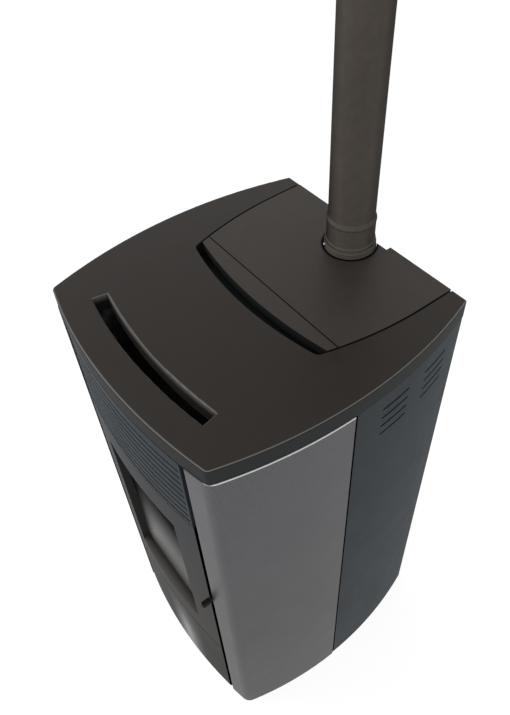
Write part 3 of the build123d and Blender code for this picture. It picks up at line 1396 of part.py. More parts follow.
rocker_x = inlet_x1 - 19.0
rocker_w = 14.0
rocker_play = 0.5
thermostat_lip = cover_back + 3.0
with BuildPart() as power_inlet:
    lip_y = cover_back + 2.5
    with BuildSketch(y_plane(lip_y)) as inlet_plan:
        add(span(inlet_x0 - inlet_rim, inlet_x1 + inlet_rim, inlet_z0 - inlet_rim, inlet_z1 + inlet_rim))
        chamfer(inlet_plan.vertices(), 2)
    extrude(amount=lip_y - cover_back)
    with BuildSketch(y_plane(cover_back)):
        add(span(inlet_x0, inlet_x1, inlet_z0, inlet_z1))
    extrude(amount=26)
    with BuildSketch(y_plane(lip_y)):
        add(span(inlet_x0 + 6, inlet_x0 + 30, inlet_z0 + 6, inlet_z1 - 6))
        add(span(rocker_x - rocker_play, rocker_x + rocker_w + rocker_play, inlet_z0 + 4, inlet_z1 - 4))
    extrude(amount=18, mode=Mode.SUBTRACT)
    with BuildSketch(y_plane(cover_y)):
        for x in (inlet_x0 + 12, inlet_x0 + 24):
            add(span(x - 1, x + 1, inlet_z0 + 9, inlet_z0 + 15))
        add(span(inlet_x0 + 17, inlet_x0 + 19, inlet_z0 + 15, inlet_z0 + 21))
    extrude(amount=14)
power_inlet.part.label = "power_inlet"

# Rocker, tipped to one side in its recess
rocker_tilt = math.radians(8)
with BuildPart() as rocker_switch:
    ry = cover_y + 1.5
    rz = (inlet_z0 + inlet_z1) / 2
    points = [(-4, -8), (3.2, -10), (2.2, 0), (3.2, 10), (-4, 8), (-7, 0), (-4, -8)]
    turned = [(ry + p * math.cos(rocker_tilt) - q * math.sin(rocker_tilt),
               rz + p * math.sin(rocker_tilt) + q * math.cos(rocker_tilt)) for p, q in points]
    with BuildSketch(Plane.YZ.offset(rocker_x)):
        with BuildLine():
            Polyline(*turned)
        make_face()
    extrude(amount=rocker_w)
rocker_switch.part.label = "rocker_switch"

with BuildPart() as safety_thermostat:
    with BuildSketch(y_plane(cover_y)):
        add(faceted(thermostat_x, thermostat_z, 13, 16))
    extrude(amount=22)
    with BuildSketch(y_plane(thermostat_lip)):
        add(faceted(thermostat_x, thermostat_z, button_r + 3, 12))
    extrude(amount=thermostat_lip - cover_y + 2)
    with BuildSketch(y_plane(thermostat_lip)):
        add(faceted(thermostat_x, thermostat_z, 8.5, 6))
    extrude(amount=thermostat_lip - cover_back)
    with BuildSketch(y_plane(thermostat_lip)):
        add(disc(thermostat_x, thermostat_z, button_r + body_gap))
    extrude(amount=12, mode=Mode.SUBTRACT)
safety_thermostat.part.label = "safety_thermostat"

with BuildPart() as reset_button:
    with BuildSketch(y_plane(thermostat_lip + 3)):
        add(disc(thermostat_x, thermostat_z, button_r))
    extrude(amount=11)
    chamfer(reset_button.edges().group_by(Axis.Y)[-1], 0.6)
reset_button.part.label = "reset_button"

os.makedirs("parts", exist_ok=True)
for piece in (
    top_plate, hopper_deck, hopper_lid, lid_grip, lid_seal, hopper, auger_tube, auger_screw, gearmotor, feed_chute,
    side_panel_right, side_panel_left, rear_side_right, rear_side_left, base_plate, levelling_feet,
    side_frame_right, side_frame_left, rear_cover, cover_screws, grille, lower_panel, door_frame, door_glass,
    glass_seal, glass_clips, clip_screws, door_seal, door_latch, latch_catch, hinge_brackets, hinge_pins, firebox,
    exchanger_tubes, fire_back, fire_sides, baffle, air_plenum, burn_pot, igniter, ash_pan, smoke_box,
    exhaust_casing, exhaust_rotor, exhaust_motor, flue_adapter, flue_riser, flue_collar, collar_screw, flue_pipe,
    air_inlet_tube, blower_casing, blower_rotor, blower_motor, control_board, pressure_switch, power_inlet,
    rocker_switch, safety_thermostat, reset_button,
):
    export_step(piece.part, f"parts/{piece.part.label}.step")
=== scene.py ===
import math

import bmesh
import bpy
from bpy.props import FloatProperty, FloatVectorProperty, PointerProperty
from bpy.types import NodeSocket, Operator, Panel, PropertyGroup
from mathutils import Matrix, Vector


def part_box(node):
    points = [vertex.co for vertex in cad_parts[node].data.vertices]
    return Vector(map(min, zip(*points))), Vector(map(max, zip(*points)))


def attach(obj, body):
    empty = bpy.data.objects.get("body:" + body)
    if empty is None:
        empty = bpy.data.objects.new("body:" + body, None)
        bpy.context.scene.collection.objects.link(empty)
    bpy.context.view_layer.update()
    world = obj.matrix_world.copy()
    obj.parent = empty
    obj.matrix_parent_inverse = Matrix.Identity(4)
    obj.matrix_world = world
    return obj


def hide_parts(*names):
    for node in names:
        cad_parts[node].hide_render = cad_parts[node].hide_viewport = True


bl_info = {
    "name": "Pellet stove",
    "version": (1, 0, 0),
    "blender": (4, 5, 0),
    "location": "View3D > Sidebar > Stove",
    "description": "Finishes and detailed pieces of a bowed pellet stove, built round its CAD frame",
    "category": "Add Mesh",
}

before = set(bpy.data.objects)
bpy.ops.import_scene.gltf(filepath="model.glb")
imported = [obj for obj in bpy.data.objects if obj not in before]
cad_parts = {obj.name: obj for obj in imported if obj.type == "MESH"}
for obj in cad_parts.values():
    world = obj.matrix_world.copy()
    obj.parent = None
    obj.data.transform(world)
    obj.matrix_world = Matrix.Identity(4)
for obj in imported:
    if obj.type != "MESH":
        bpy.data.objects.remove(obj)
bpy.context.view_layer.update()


def linear(code):
    """Turns an sRGB hex colour into the linear values that Blender works in."""
    values = [int(code[i:i + 2], 16) / 255 for i in (1, 3, 5)]
    return [v / 12.92 if v <= 0.04045 else ((v + 0.055) / 1.055) ** 2.4 for v in values]


def colour(name, code, description):
    """Colour property with its default given as sRGB hex."""
    return FloatVectorProperty(name=name, description=description, subtype="COLOR", size=3,
                               default=linear(code), min=0, max=1)


def number(name, default, description, **more):
    """Property that holds a number, with its unit, subtype or limits where it has them."""
    return FloatProperty(name=name, default=default, description=description, **more)


def size(name, default, description):
    """Length property in metres."""
    return number(name, default, description, subtype="DISTANCE", unit="LENGTH", min=0, precision=5)


def settings(context):
    """The stove's colours and sizes."""
    return context.scene.stove_colours, context.scene.stove_sizes


def angle(name, degrees, description):
    """Angle property with its default given in degrees."""
    return number(name, math.radians(degrees), description, subtype="ANGLE")


class StoveColours(PropertyGroup):
    """Colours of the stove's finishes."""

    # Top paint and rim paint split each plate by which way it faces: painted warm light from above, and painted cool
    # shade, blue-black, on the sides.
    top_paint: colour("Top paint", "#201913", "Stove paint on the top plate, browned by heat")
    painted_cool_shade_rim: colour("Rim paint", "#0c0f11", "The same paint on the plate's rim, still blue-black")
    lid_paint: colour("Lid paint", "#332d28", "Stove paint on the lid and its grip")
    # A painted highlight on the plate's rounded edge.
    painted_edge_highlight: colour("Edge line", "#6a6763", "The same paint rubbed thin along the plate's rounded edge")
    recess_paint: colour("Recess paint", "#0c0c0c", "Dull paint inside the finger recess")
    side_coat: colour("Side coat", "#47474b", "Metallic powder coat on the two front side panels")
    side_flake: colour("Side flake", "#77777d", "Aluminium flake in the side panels' coat")
    # A painted highlight along the side panels' top edge.
    painted_top_edge_highlight: colour("Cut edge", "#e6e6e6", "Bare metal where the side panels were cut after coating")
    rear_coat: colour("Rear coat", "#30373b", "Fine textured powder coat on the rear side panels")
    grille_paint: colour("Grille paint", "#2b3237", "Stove paint on the louvred grille")
    # Door paint and the door's upper paint blend by height: bluer at the top, browner lower down.
    door_paint: colour("Door paint", "#33312f", "Stove paint on the door and the lower panel")
    door_top_paint: colour("Door's upper paint", "#303437", "The same paint at the door's top, still blue-black")
    # Painted light on the window's sill.
    painted_sill_light: colour("Sill ash", "#625f5c", "Fine ash that settles on the window's sill")
    glass_ash: colour("Glass ash", "#a3a19d", "Fine ash that lies on the glass")
    latch_paint: colour("Latch paint", "#070707", "Black oxide on the latch")
    pipe_enamel: colour("Pipe enamel", "#58524c", "Matt enamel on the flue pipe and its collar")
    zinc: colour("Zinc", "#b9bdc0", "Hot-dip galvanised sheet inside the stove")
    bright: colour("Bright zinc", "#c6c7c9", "Zinc plate on screws, hinges and shafts")
    scale: colour("Heat scale", "#4a423d", "Blued and scaled steel round the fire")
    iron: colour("Cast iron", "#2b2a29", "Sand-cast iron of the burn pot")
    board: colour("Lining board", "#a49a86", "Pressed vermiculite lining")
    rope: colour("Rope", "#8d8a84", "Knitted glass-fibre rope")
    rubber: colour("Silicone", "#2f2f30", "Extruded seal on the hopper's rim")
    plastic: colour("Black plastic", "#141414", "Moulded housing plastic")
    red: colour("Red plastic", "#8e1410", "Moulded rocker of the switch")
    laminate: colour("Laminate", "#12452a", "Solder mask of the circuit board")


class StoveSizes(PropertyGroup):
    """Sizes of surface detail and of the pieces made here."""

    paint_grain: size("Paint grain", 0.0022,
                      "Spacing of the sprayed paint's grain, drawn coarser than the real 0.3 mm so that it shows")
    coat_grain: size("Coat grain", 0.0028, "Spacing of the powder coat's orange peel")
    flake: size("Flake", 0.0014, "Size of a metallic flake, drawn coarser than the real 0.04 mm")
    spangle: size("Spangle", 0.009, "Width of a zinc crystal on galvanised sheet")
    casting_grain: size("Casting grain", 0.0016, "Sand grain left on cast iron")
    rub: size("Edge rub", 0.0012, "How far paint is worn from an edge")
    rope_pitch: size("Rope pitch", 0.009, "Length of one knitted diamond along the rope seal")
    tape_width: size("Tape width", 0.0105, "Width of the woven tape round the glass")
    lid_seal_width: size("Hopper seal width", 0.007, "Width of the extruded seal on the hopper's rim")
    collar_foot: size("Collar foot", 0.0013, "How far the collar's thin foot stands out past its ribs")
    head: size("Screw head", 0.0045, "Radius of a cover screw's head")
    thread: size("Thread", 0.0015, "Pitch of the levelling feet's thread")


class StoveStage(PropertyGroup):
    """Camera and lights."""

    camera_x: size("Camera x", 0.71405, "Camera position across the stove")
    camera_y: number("Camera y", -0.48574, "Camera position along the stove, in front below 0", unit="LENGTH")
    camera_z: size("Camera height", 1.85324, "Camera position above the floor")
    yaw: angle("Yaw", 56.2602, "Camera turn about the vertical")
    pitch: angle("Pitch", 48.1053, "Camera tilt below the horizon")
    roll: angle("Roll", -4.0516, "Camera turn about its own axis")
    lens: number("Lens", 34.896, "Focal length", subtype="DISTANCE_CAMERA", min=10)
    ambient: number("Ambient", 0.62, "Light from all round on matt surfaces", min=0)
    ceiling: number("Ceiling", 0.6, "Grey of the ceiling that glossy surfaces reflect", min=0)
    key: number("Key lamp", 32, "Power of the large soft lamp at the front left", unit="POWER", min=0)
    fill: number("Fill lamp", 7, "Power of the soft lamp at the front right", unit="POWER", min=0)
    floor_colour: colour("Floor", "#ffffff", "Pale floor and backdrop")
    floor_paper: colour("Floor paper", "#8e8e8e", "The floor's own matt grey, which takes the stove's shadow")


# Materials

# Black laid over a coat as painted shade.
PAINTED_SHADE_BLACK = linear("#000000")
BLUE_SCALE = linear("#2d2f36")
SOOT = linear("#151312")
PALE_ASH = linear("#6e6862")
WOOD_SMOKE = linear("#2c2723")
SCORCH = linear("#4a3b2e")
HEAT_CLOUD = 0.16       # spacing of the clouds that heat leaves in stove paint
SPECK = 0.012           # spacing of specks of dust
SMUDGE = 0.05           # spacing of the smudges that change a paint's shine
PAINT_DEPTH = 0.00016   # depth of the sprayed paint's grain


def add_node(tree, kind, inputs=(), **settings):
    """Adds a shader node with its settings, gives each named input a value, a colour or another node's output, and
    returns its own outputs."""
    made = tree.nodes.new("ShaderNode" + kind)
    for name, value in settings.items():
        setattr(made, name, value)
    for name, value in dict(inputs).items():
        socket = made.inputs[name]
        if isinstance(value, NodeSocket):
            tree.links.new(value, socket)
        elif socket.type == "RGBA":
            socket.default_value = (*value, 1)
        else:
            socket.default_value = value
    return made.outputs


def per_metre(length):
    """Texture scale for a detail of that length."""
    return 1 / length


def shaded(values, factor):
    """The same colour, lighter or darker."""
    return [min(1, v * factor) for v in values]


def empty_tree(block):
    """Node tree of a material or a world, with nothing in it."""
    block.use_nodes = True
    block.node_tree.nodes.clear()
    return block.node_tree


def start_finish(name):
    """Empty material in the place of an older one, its tree, and coordinates in metres that stay with the piece."""
    old = bpy.data.materials.get(name)
    if old is not None:
        bpy.data.materials.remove(old)
    finish = bpy.data.materials.new(name)
    tree = empty_tree(finish)
    return finish, tree, add_node(tree, "TexCoord")["Object"]


def end_finish(tree, inputs, open_mask=None):
    """Ends a material with its Principled shader. An open mask takes the shine off where it falls to 0, for painted
    shade in gaps and the painted shadow round the pipe, and the socket keeps its own level for exports."""
    surface = add_node(tree, "BsdfPrincipled", inputs)[0]
    add_node(tree, "OutputMaterial", {"Surface": surface})
    if open_mask is not None:
        level = surface.node.inputs["Specular IOR Level"]
        kept = add_node(tree, "MapRange", {"Value": open_mask, "To Max": level.default_value})
        tree.links.new(kept[0], level)


def blotches(tree, place, length, low, high, detail=4.0):
    """Soft cloudy pattern of that spacing, as a number from low to high."""
    clouds = add_node(tree, "TexNoise", {"Vector": place, "Scale": per_metre(length), "Detail": detail})
    return add_node(tree, "MapRange", {"Value": clouds[0], "From Min": 0.3, "From Max": 0.7,
                                       "To Min": low, "To Max": high})[0]


def grained(tree, place, grain, depth, detail=3.0, **shape):
    """Surface normal of a fine grain of that spacing and depth."""
    noise = add_node(tree, "TexNoise", {"Vector": place, "Scale": per_metre(grain), "Detail": detail})
    return add_node(tree, "Bump", {"Height": noise[0], "Distance": depth, **shape})[0]


def facing(tree):
    """The three parts of the direction that the surface faces, in the piece's own axes."""
    return add_node(tree, "SeparateXYZ", {0: add_node(tree, "TexCoord")["Normal"]})


def worn_edges(tree, radius, gain):
    """Mask that rises to gain where two faces meet and is 0 on the open face, and the normal of the rounded edge."""
    rounded = add_node(tree, "Bevel", {"Radius": radius}, samples=6)[0]
    flat = add_node(tree, "NewGeometry")["Normal"]
    match = add_node(tree, "VectorMath", {0: rounded, 1: flat}, operation="DOT_PRODUCT")["Value"]
    mask = add_node(tree, "MapRange", {"Value": match, "From Min": 0.995, "From Max": 0.8, "To Max": gain})
    return mask[0], rounded


def between(tree, value, low, high, soft):
    """Mask of where the value lies between low and high."""
    middle = add_node(tree, "Math", {0: value, 1: (low + high) / 2}, operation="SUBTRACT")
    away = add_node(tree, "Math", {0: middle[0]}, operation="ABSOLUTE")
    reach = (high - low) / 2
    return add_node(tree, "MapRange", {"Value": away[0], "From Min": reach - soft, "From Max": reach + soft,
                                       "To Min": 1.0, "To Max": 0.0})[0]


def overlap(tree, *masks):
    """Mask of where all the masks are 1."""
    shared = masks[0]
    for mask in masks[1:]:
        shared = add_node(tree, "Math", {0: shared, 1: mask}, operation="MULTIPLY")[0]
    return shared


def layered(tree, ground, *layers):
    """Colour of a ground with layers over it: each is a mask, and the colour that it brings where the mask is 1."""
    for mask, cover in layers:
        ground = add_node(tree, "Mix", {0: mask, 6: ground, 7: cover}, data_type="RGBA")[2]
    return ground


def sprayed_stove_paint(name, paint, grain, rub, dull, dusty, shine=0.5, seam=None, painted_turn_shade=0.0):
    """Silicone stove paint sprayed on steel or iron: near black, satin, with a fine grain and a rub of wear on its
    edges. A sheet that tucks in behind its neighbour at a seam gets painted shade in front of it, black and without
    shine, and a round pipe gets painted shade where it turns away from the eye."""
    finish, tree, place = start_finish(name)
    worn, rounded = worn_edges(tree, rub, 0.35)
    body = layered(tree, shaded(paint, 0.92), (blotches(tree, place, HEAT_CLOUD, 0.0, 1.0), shaded(paint, 1.1)),
                   (blotches(tree, place, SPECK, 0.0, dusty), shaded(paint, 2.2)), (worn, shaded(paint, 4.0)))
    beyond_painted_seam_shade = None
    # Painted shade: black, without shine, in front of the seam.
    if seam is not None:
        y = add_node(tree, "SeparateXYZ", {0: place})[1]
        beyond_painted_seam_shade = add_node(tree, "MapRange", {"Value": y, "From Min": seam - 0.0006, "From Max": seam + 0.0006})[0]
        body = layered(tree, shaded(paint, 0.02), (beyond_painted_seam_shade, body))
    # Painted shade: the paint darkens where the surface turns away from the eye.
    if painted_turn_shade:
        away = add_node(tree, "MapRange", {"Value": add_node(tree, "LayerWeight")["Facing"], "From Min": 0.33,
                                           "From Max": 0.8, "To Max": painted_turn_shade})[0]
        body = layered(tree, body, (away, shaded(paint, 0.1)))
    end_finish(tree, {"Base Color": body, "IOR": 1.46, "Specular IOR Level": shine,
                      "Roughness": blotches(tree, place, SMUDGE, dull - 0.02, dull + 0.03),
                      "Normal": grained(tree, place, grain, PAINT_DEPTH, Normal=rounded, Strength=0.5)}, beyond_painted_seam_shade)
    return finish


def plate_paint_with_painted_light(name, paint, rim, line, grain, dull, slot=None, pipe=None):
    """Stove paint on warm iron: painted warm light where it faces up, painted cool shade of blue-black on its sides,
    and a painted highlight where they round over. In the box round the warm air slot, its walls get painted light
    near the top that fades to painted shade below. A painted shadow, near black and without shine, rings the lid's
    hole for the pipe."""
    finish, tree, place = start_finish(name)
    _, back, up = facing(tree)
    # Faces that look up get the warm paint, and faces that look sideways get the rim's painted cool shade.
    flat = add_node(tree, "MapRange", {"Value": up, "From Min": 0.80, "From Max": 0.93})[0]
    side = add_node(tree, "MapRange", {"Value": up, "From Min": 0.60, "From Max": 0.45})[0]
    body = layered(tree, shaded(paint, 0.94), (blotches(tree, place, HEAT_CLOUD, 0.0, 1.0), shaded(paint, 1.08)),
                   (blotches(tree, place, SPECK, 0.0, 0.12), shaded(paint, 2.2)))
    wall, edge, outside_pipe_shadow = rim, line, None
    if slot is not None:
        # Inside the slot box: painted light near the top of the walls fades to painted shade below, and the edge
        # highlight is painted only on roundings that face the front.
        x, y, z = add_node(tree, "SeparateXYZ", {0: place})
        inside = overlap(tree, between(tree, x, *slot[0], 0.004), between(tree, y, *slot[1], 0.004))
        away = add_node(tree, "MapRange", {"Value": back, "From Min": -0.1, "From Max": 0.1})[0]
        high = add_node(tree, "MapRange", {"Value": z, "From Min": slot[2][0], "From Max": slot[2][1]})
        edge = layered(tree, line, (inside, layered(tree, shaded(line, 0.8), (away, paint))))
        dust = layered(tree, shaded(paint, 0.4), (high[0], shaded(line, 1.1)))
        wall = layered(tree, rim, (inside, dust))
    if pipe is not None:
        # Painted shadow: near black paint without shine, in a ring just outside the pipe's hole.
        axis, hole = pipe
        reach = add_node(tree, "VectorMath", {0: place, 1: axis}, operation="DISTANCE")["Value"]
        outside_pipe_shadow = add_node(tree, "MapRange", {"Value": reach, "From Min": hole + 0.0015, "From Max": hole + 0.006})[0]
        body = layered(tree, shaded(paint, 0.05), (outside_pipe_shadow, body))
    # The rounding between top and side gets the edge line, a painted highlight.
    body = layered(tree, edge, (flat, body))
    gloss = blotches(tree, place, SMUDGE, dull - 0.04, dull + 0.05)
    rough = add_node(tree, "MapRange", {"Value": side, "To Min": gloss, "To Max": 0.78})[0]
    end_finish(tree, {"Base Color": layered(tree, body, (side, wall)), "Roughness": rough, "IOR": 1.46,
                      "Specular IOR Level": 0.42,
                      "Normal": grained(tree, place, grain, PAINT_DEPTH, Strength=0.5)}, outside_pipe_shadow)
    return finish


def metallic_powder_coat(name, coat, flake_colour, flake, grain, rub, painted_top_edge_highlight, top, corner):
    """Polyester powder coat with aluminium flake on bent sheet: satin silver-grey, with painted shade that darkens it
    towards the foot, and a painted highlight, a near-white line along the top edge from the front corner back."""
    finish, tree, place = start_finish(name)
    x, _, z = add_node(tree, "SeparateXYZ", {0: place})
    worn, rounded = worn_edges(tree, rub, 0.3)
    flakes = add_node(tree, "TexVoronoi", {"Vector": place, "Scale": per_metre(flake)})
    sparks = add_node(tree, "MapRange", {"Value": flakes["Color"], "From Min": 0.45, "To Max": 0.3})[0]
    # Painted shade: the coat darkens towards the foot.
    foot = add_node(tree, "MapRange", {"Value": z, "From Min": 0.40, "From Max": 1.02,
                                       "To Min": 0.69, "To Max": 0.0})[0]
    body = layered(tree, coat, (sparks, flake_colour), (blotches(tree, place, 0.22, 0.0, 0.06), shaded(coat, 0.75)),
                   (worn, flake_colour), (foot, PAINTED_SHADE_BLACK))
    # Painted highlight: a near-white line along the top edge, on the side face behind the front corner.
    edge = add_node(tree, "MapRange", {"Value": z, "From Min": top - 0.0028, "From Max": top - 0.0020})[0]
    cut = layered(tree, painted_top_edge_highlight, (between(tree, x, -corner, corner, 0.004), body))
    end_finish(tree, {"Base Color": layered(tree, body, (edge, cut)), "IOR": 1.5, "Metallic": 0.42,
                      "Coat Weight": 0.08, "Coat Roughness": 0.4,
                      "Roughness": blotches(tree, place, 0.06, 0.46, 0.49),
                      "Normal": grained(tree, place, grain, 0.0001, 2.0, Normal=rounded, Strength=0.5)})
    return finish


def front_paint_with_painted_light(name, cool, warm, ash, grain, rub, half, joint, sill):
    """Stove paint on the door and the panel below it: bluer at the top and browner lower down, with painted shade,
    black and without shine, on the edges beside the side panels and at the joint below the door, painted shade darker
    towards the foot, painted light on the window's sill that grows paler towards its front edge, and a band that
    cleaning has rubbed smoother."""
    finish, tree, place = start_finish(name)
    worn, rounded = worn_edges(tree, rub, 0.35)
    x, y, z = add_node(tree, "SeparateXYZ", {0: place})
    # Bluer towards the top.
    height = add_node(tree, "MapRange", {"Value": z, "From Min": 0.5, "From Max": 0.84})[0]
    # Painted light on the sill: level faces there grow paler towards the sill's front edge.
    level = add_node(tree, "MapRange", {"Value": facing(tree)[2], "From Min": 0.6, "From Max": 0.9})[0]
    half_sill, (back, front), sill_z = sill
    reach = add_node(tree, "MapRange", {"Value": y, "From Min": back, "From Max": front})[0]
    painted_sill_light_mask = overlap(tree, level, reach, between(tree, x, -half_sill, half_sill, 0.002),
                      between(tree, z, *sill_z, 0.002))
    # Painted shade: the lower panel darkens towards the foot.
    foot = add_node(tree, "MapRange", {"Value": z, "From Min": 0.16, "From Max": 0.27,
                                       "To Min": 0.5, "To Max": 0.0})[0]
    body = layered(tree, warm, (height, cool), (blotches(tree, place, SPECK, 0.0, 0.06), shaded(warm, 2.0)),
                   (worn, shaded(warm, 4.0)), (painted_sill_light_mask, ash), (foot, PAINTED_SHADE_BLACK))
    # Painted shade: black, without shine, on the edges beside the side panels and in the joint below the door.
    seen = add_node(tree, "Math", {0: between(tree, x, -half, half, 0.0006), 1: between(tree, z, *joint, 0.0004)},
                    operation="SUBTRACT", use_clamp=True)[0]
    band = overlap(tree, between(tree, x, -0.005, 0.075, 0.03), between(tree, z, -0.1, 0.2, 0.08))
    rough = add_node(tree, "MapRange", {"Value": band, "To Min": 0.62, "To Max": 0.27})[0]
    end_finish(tree, {"Base Color": layered(tree, shaded(warm, 0.02), (seen, body)), "Roughness": rough,
                      "IOR": 1.46, "Specular IOR Level": 0.15,
                      "Normal": grained(tree, place, grain, PAINT_DEPTH, Normal=rounded, Strength=0.5)}, seen)
    return finish


def galvanised_sheet(name, zinc, spangle):
    """Hot-dip galvanised sheet: pale grey crystals, each with its own shine."""
    finish, tree, place = start_finish(name)
    crystals = add_node(tree, "TexVoronoi", {"Vector": place, "Scale": per_metre(spangle), "Randomness": 0.9})
    tone = add_node(tree, "SeparateColor", {"Color": crystals["Color"]})
    rough = add_node(tree, "MapRange", {"Value": tone[1], "To Min": 0.32, "To Max": 0.55})[0]
    streak = add_node(tree, "Bump", {"Height": blotches(tree, place, 0.03, 0.0, 1.0), "Distance": 0.00008})
    end_finish(tree, {"Base Color": layered(tree, shaded(zinc, 0.72), (tone[0], shaded(zinc, 1.05))),
                      "Metallic": 1.0, "Roughness": rough, "Normal": streak[0]})
    return finish


def zinc_plated_steel(name, bright, grain=0.0012, thread=None):
    """Turned or pressed steel, bright zinc plated: fine tool marks and a few dull spots, with a screw thread where
    its pitch is given."""
    finish, tree, place = start_finish(name)
    normal = grained(tree, place, grain, 0.00005)
    if thread is not None:
        # A wave texture turns by 20 radians for each unit of its scale.
        turns = add_node(tree, "TexWave", {"Vector": place, "Scale": math.tau * per_metre(thread) / 20},
                         bands_direction="Z")
        normal = add_node(tree, "Bump", {"Height": turns[0], "Distance": 0.0006, "Normal": normal})[0]
    body = layered(tree, bright, (blotches(tree, place, 0.008, 0.0, 0.5), shaded(bright, 0.6)))
    end_finish(tree, {"Base Color": body, "Metallic": 1.0, "Roughness": blotches(tree, place, 0.005, 0.2, 0.38),
                      "Normal": normal})
    return finish


def heat_scaled_steel(name, scale, grain):
    """Mild steel that has been red hot: brown and blue scale, with soot where the smoke passes."""
    finish, tree, place = start_finish(name)
    body = layered(tree, scale, (blotches(tree, place, 0.045, 0.0, 1.0, 8.0), BLUE_SCALE),
                   (blotches(tree, place, 0.13, 0.0, 0.8), SOOT))
    end_finish(tree, {"Base Color": body, "Metallic": 0.7, "Roughness": blotches(tree, place, 0.03, 0.5, 0.8),
                      "Normal": grained(tree, place, grain, 0.0003, 6.0)})
    return finish


def sand_cast_iron(name, iron, grain):
    """Grey iron as it comes from a sand mould: dull, dark and pitted."""
    finish, tree, place = start_finish(name)
    pits = add_node(tree, "TexVoronoi", {"Vector": place, "Scale": per_metre(grain)}, feature="SMOOTH_F1")
    skin = add_node(tree, "Bump", {"Height": pits[0], "Distance": 0.0004})
    end_finish(tree, {"Base Color": layered(tree, iron, (blotches(tree, place, 0.02, 0.0, 0.45, 6.0), PALE_ASH)),
                      "Metallic": 0.55, "Roughness": blotches(tree, place, 0.01, 0.55, 0.8),
                      "Normal": skin[0]})
    return finish


def vermiculite_board(name, board):
    """Pressed vermiculite: pale flakes of 4.5 mm in a buff ground, chalky, with clouds of wood smoke."""
    finish, tree, place = start_finish(name)
    flakes = add_node(tree, "TexVoronoi", {"Vector": place, "Scale": per_metre(0.0045)})
    tone = add_node(tree, "SeparateColor", {"Color": flakes["Color"]})[0]
    body = layered(tree, shaded(board, 0.65), (tone, shaded(board, 1.25)),
                   (blotches(tree, place, 0.1, 0.15, 0.85), WOOD_SMOKE))
    relief = add_node(tree, "Bump", {"Height": flakes["Distance"], "Distance": 0.0008})
    end_finish(tree, {"Base Color": body, "IOR": 1.5, "Roughness": 0.92, "Normal": relief[0]})
    return finish


def knitted_glass_fibre(name, rope):
    """Knitted glass-fibre yarn of 0.9 mm: pale grey-white, matt, with a fine rib and a brown tint from heat."""
    finish, tree, place = start_finish(name)
    yarn = add_node(tree, "TexNoise", {"Vector": place, "Scale": per_metre(0.0009), "Detail": 4.0})
    body = layered(tree, shaded(rope, 0.6), (yarn[0], shaded(rope, 1.3)),
                   (blotches(tree, place, 0.06, 0.0, 0.5), SCORCH))
    rib = add_node(tree, "Bump", {"Height": yarn[0], "Distance": 0.0004})
    end_finish(tree, {"Base Color": body, "IOR": 1.5, "Roughness": 0.9, "Sheen Weight": 0.15,
                      "Normal": rib[0]})
    return finish


def moulded_plastic(name, plastic, rub):
    """Injection-moulded polyamide: a grain of 1.1 mm from spark erosion, drawn coarser than the real 0.1 mm,
    semi-matt, with a painted highlight that makes its edges slightly lighter."""
    finish, tree, place = start_finish(name)
    worn, rounded = worn_edges(tree, rub * 0.4, 0.4)
    # Painted highlight: the edges are lighter.
    end_finish(tree, {"Base Color": layered(tree, plastic, (worn, shaded(plastic, 2.0))), "IOR": 1.53,
                      "Roughness": blotches(tree, place, 0.01, 0.38, 0.52),
                      "Normal": grained(tree, place, 0.0011, 0.00008, 2.0, Normal=rounded)})
    return finish


def circuit_laminate(name, laminate):
    """Glass-epoxy board with green solder mask: tracks 20 mm apart show as slightly lighter bands."""
    finish, tree, place = start_finish(name)
    tracks = add_node(tree, "TexBrick", {"Vector": place, "Scale": per_metre(0.02), "Mortar Size": 0.06,
                                         "Color1": (0, 0, 0), "Color2": (0.2, 0.2, 0.2), "Mortar": (1, 1, 1)})[0]
    relief = add_node(tree, "Bump", {"Height": tracks, "Distance": 0.00005})
    end_finish(tree, {"Base Color": layered(tree, laminate, (tracks, shaded(laminate, 1.9))), "IOR": 1.55,
                      "Roughness": 0.25, "Normal": relief[0]})
    return finish


def ceramic_glass(name, film, bottom, top):
    """Flat, nearly black glass-ceramic pane: a mirror that reflects less towards the top, and fine ash that lies
    thicker towards the lower edge."""
    finish, tree, place = start_finish(name)
    height = add_node(tree, "SeparateXYZ", {0: place})[2]
    rise = add_node(tree, "MapRange", {"Value": height, "From Min": bottom + 0.01, "From Max": top - 0.14})
    ripple = add_node(tree, "Bump", {"Height": blotches(tree, place, 0.09, 0.0, 1.0, 1.0), "Distance": 0.00002})
    mirror = layered(tree, linear("#e1e1e1"), (rise[0], linear("#303030")))
    shine = add_node(tree, "BsdfGlossy", {"Color": mirror, "Roughness": 0.3, "Normal": ripple[0]})
    ash = add_node(tree, "MapRange", {"Value": height, "From Min": bottom, "From Max": (bottom + top) / 2,
                                      "To Min": 0.5, "To Max": 0.03})
    cover = add_node(tree, "Math", {0: ash[0], 1: blotches(tree, place, 0.07, 0.9, 1.05)},
                     operation="MULTIPLY", use_clamp=True)
    clear = add_node(tree, "BsdfTransparent", {"Color": linear("#272624")})
    dusty = add_node(tree, "BsdfDiffuse", {"Color": film})
    hazed = add_node(tree, "MixShader", {0: cover[0], 1: clear[0], 2: dusty[0]})
    mirrored = add_node(tree, "Fresnel", {"IOR": 1.36})
    pane = add_node(tree, "MixShader", {0: mirrored[0], 1: hazed[0], 2: shine[0]})
    add_node(tree, "OutputMaterial", {"Surface": pane[0]})
    return finish


# Pieces

CAD_CREASE = math.radians(32)       # faces of a CAD piece that meet at more than this keep their edge
MADE_CREASE = math.radians(35)      # the same for the pieces made here
CORNER_STEPS = 8                    # straight steps in a quarter turn of a path
COVER_SCREW_Z = (0.060, 0.350, 0.680, 0.980)
SLOT_ACROSS, SLOT_ALONG = (-0.195, 0.195), (-0.243, -0.188)     # box round the warm air slot
PANEL_CORNER_X = 0.234              # where a side panel turns round onto the front


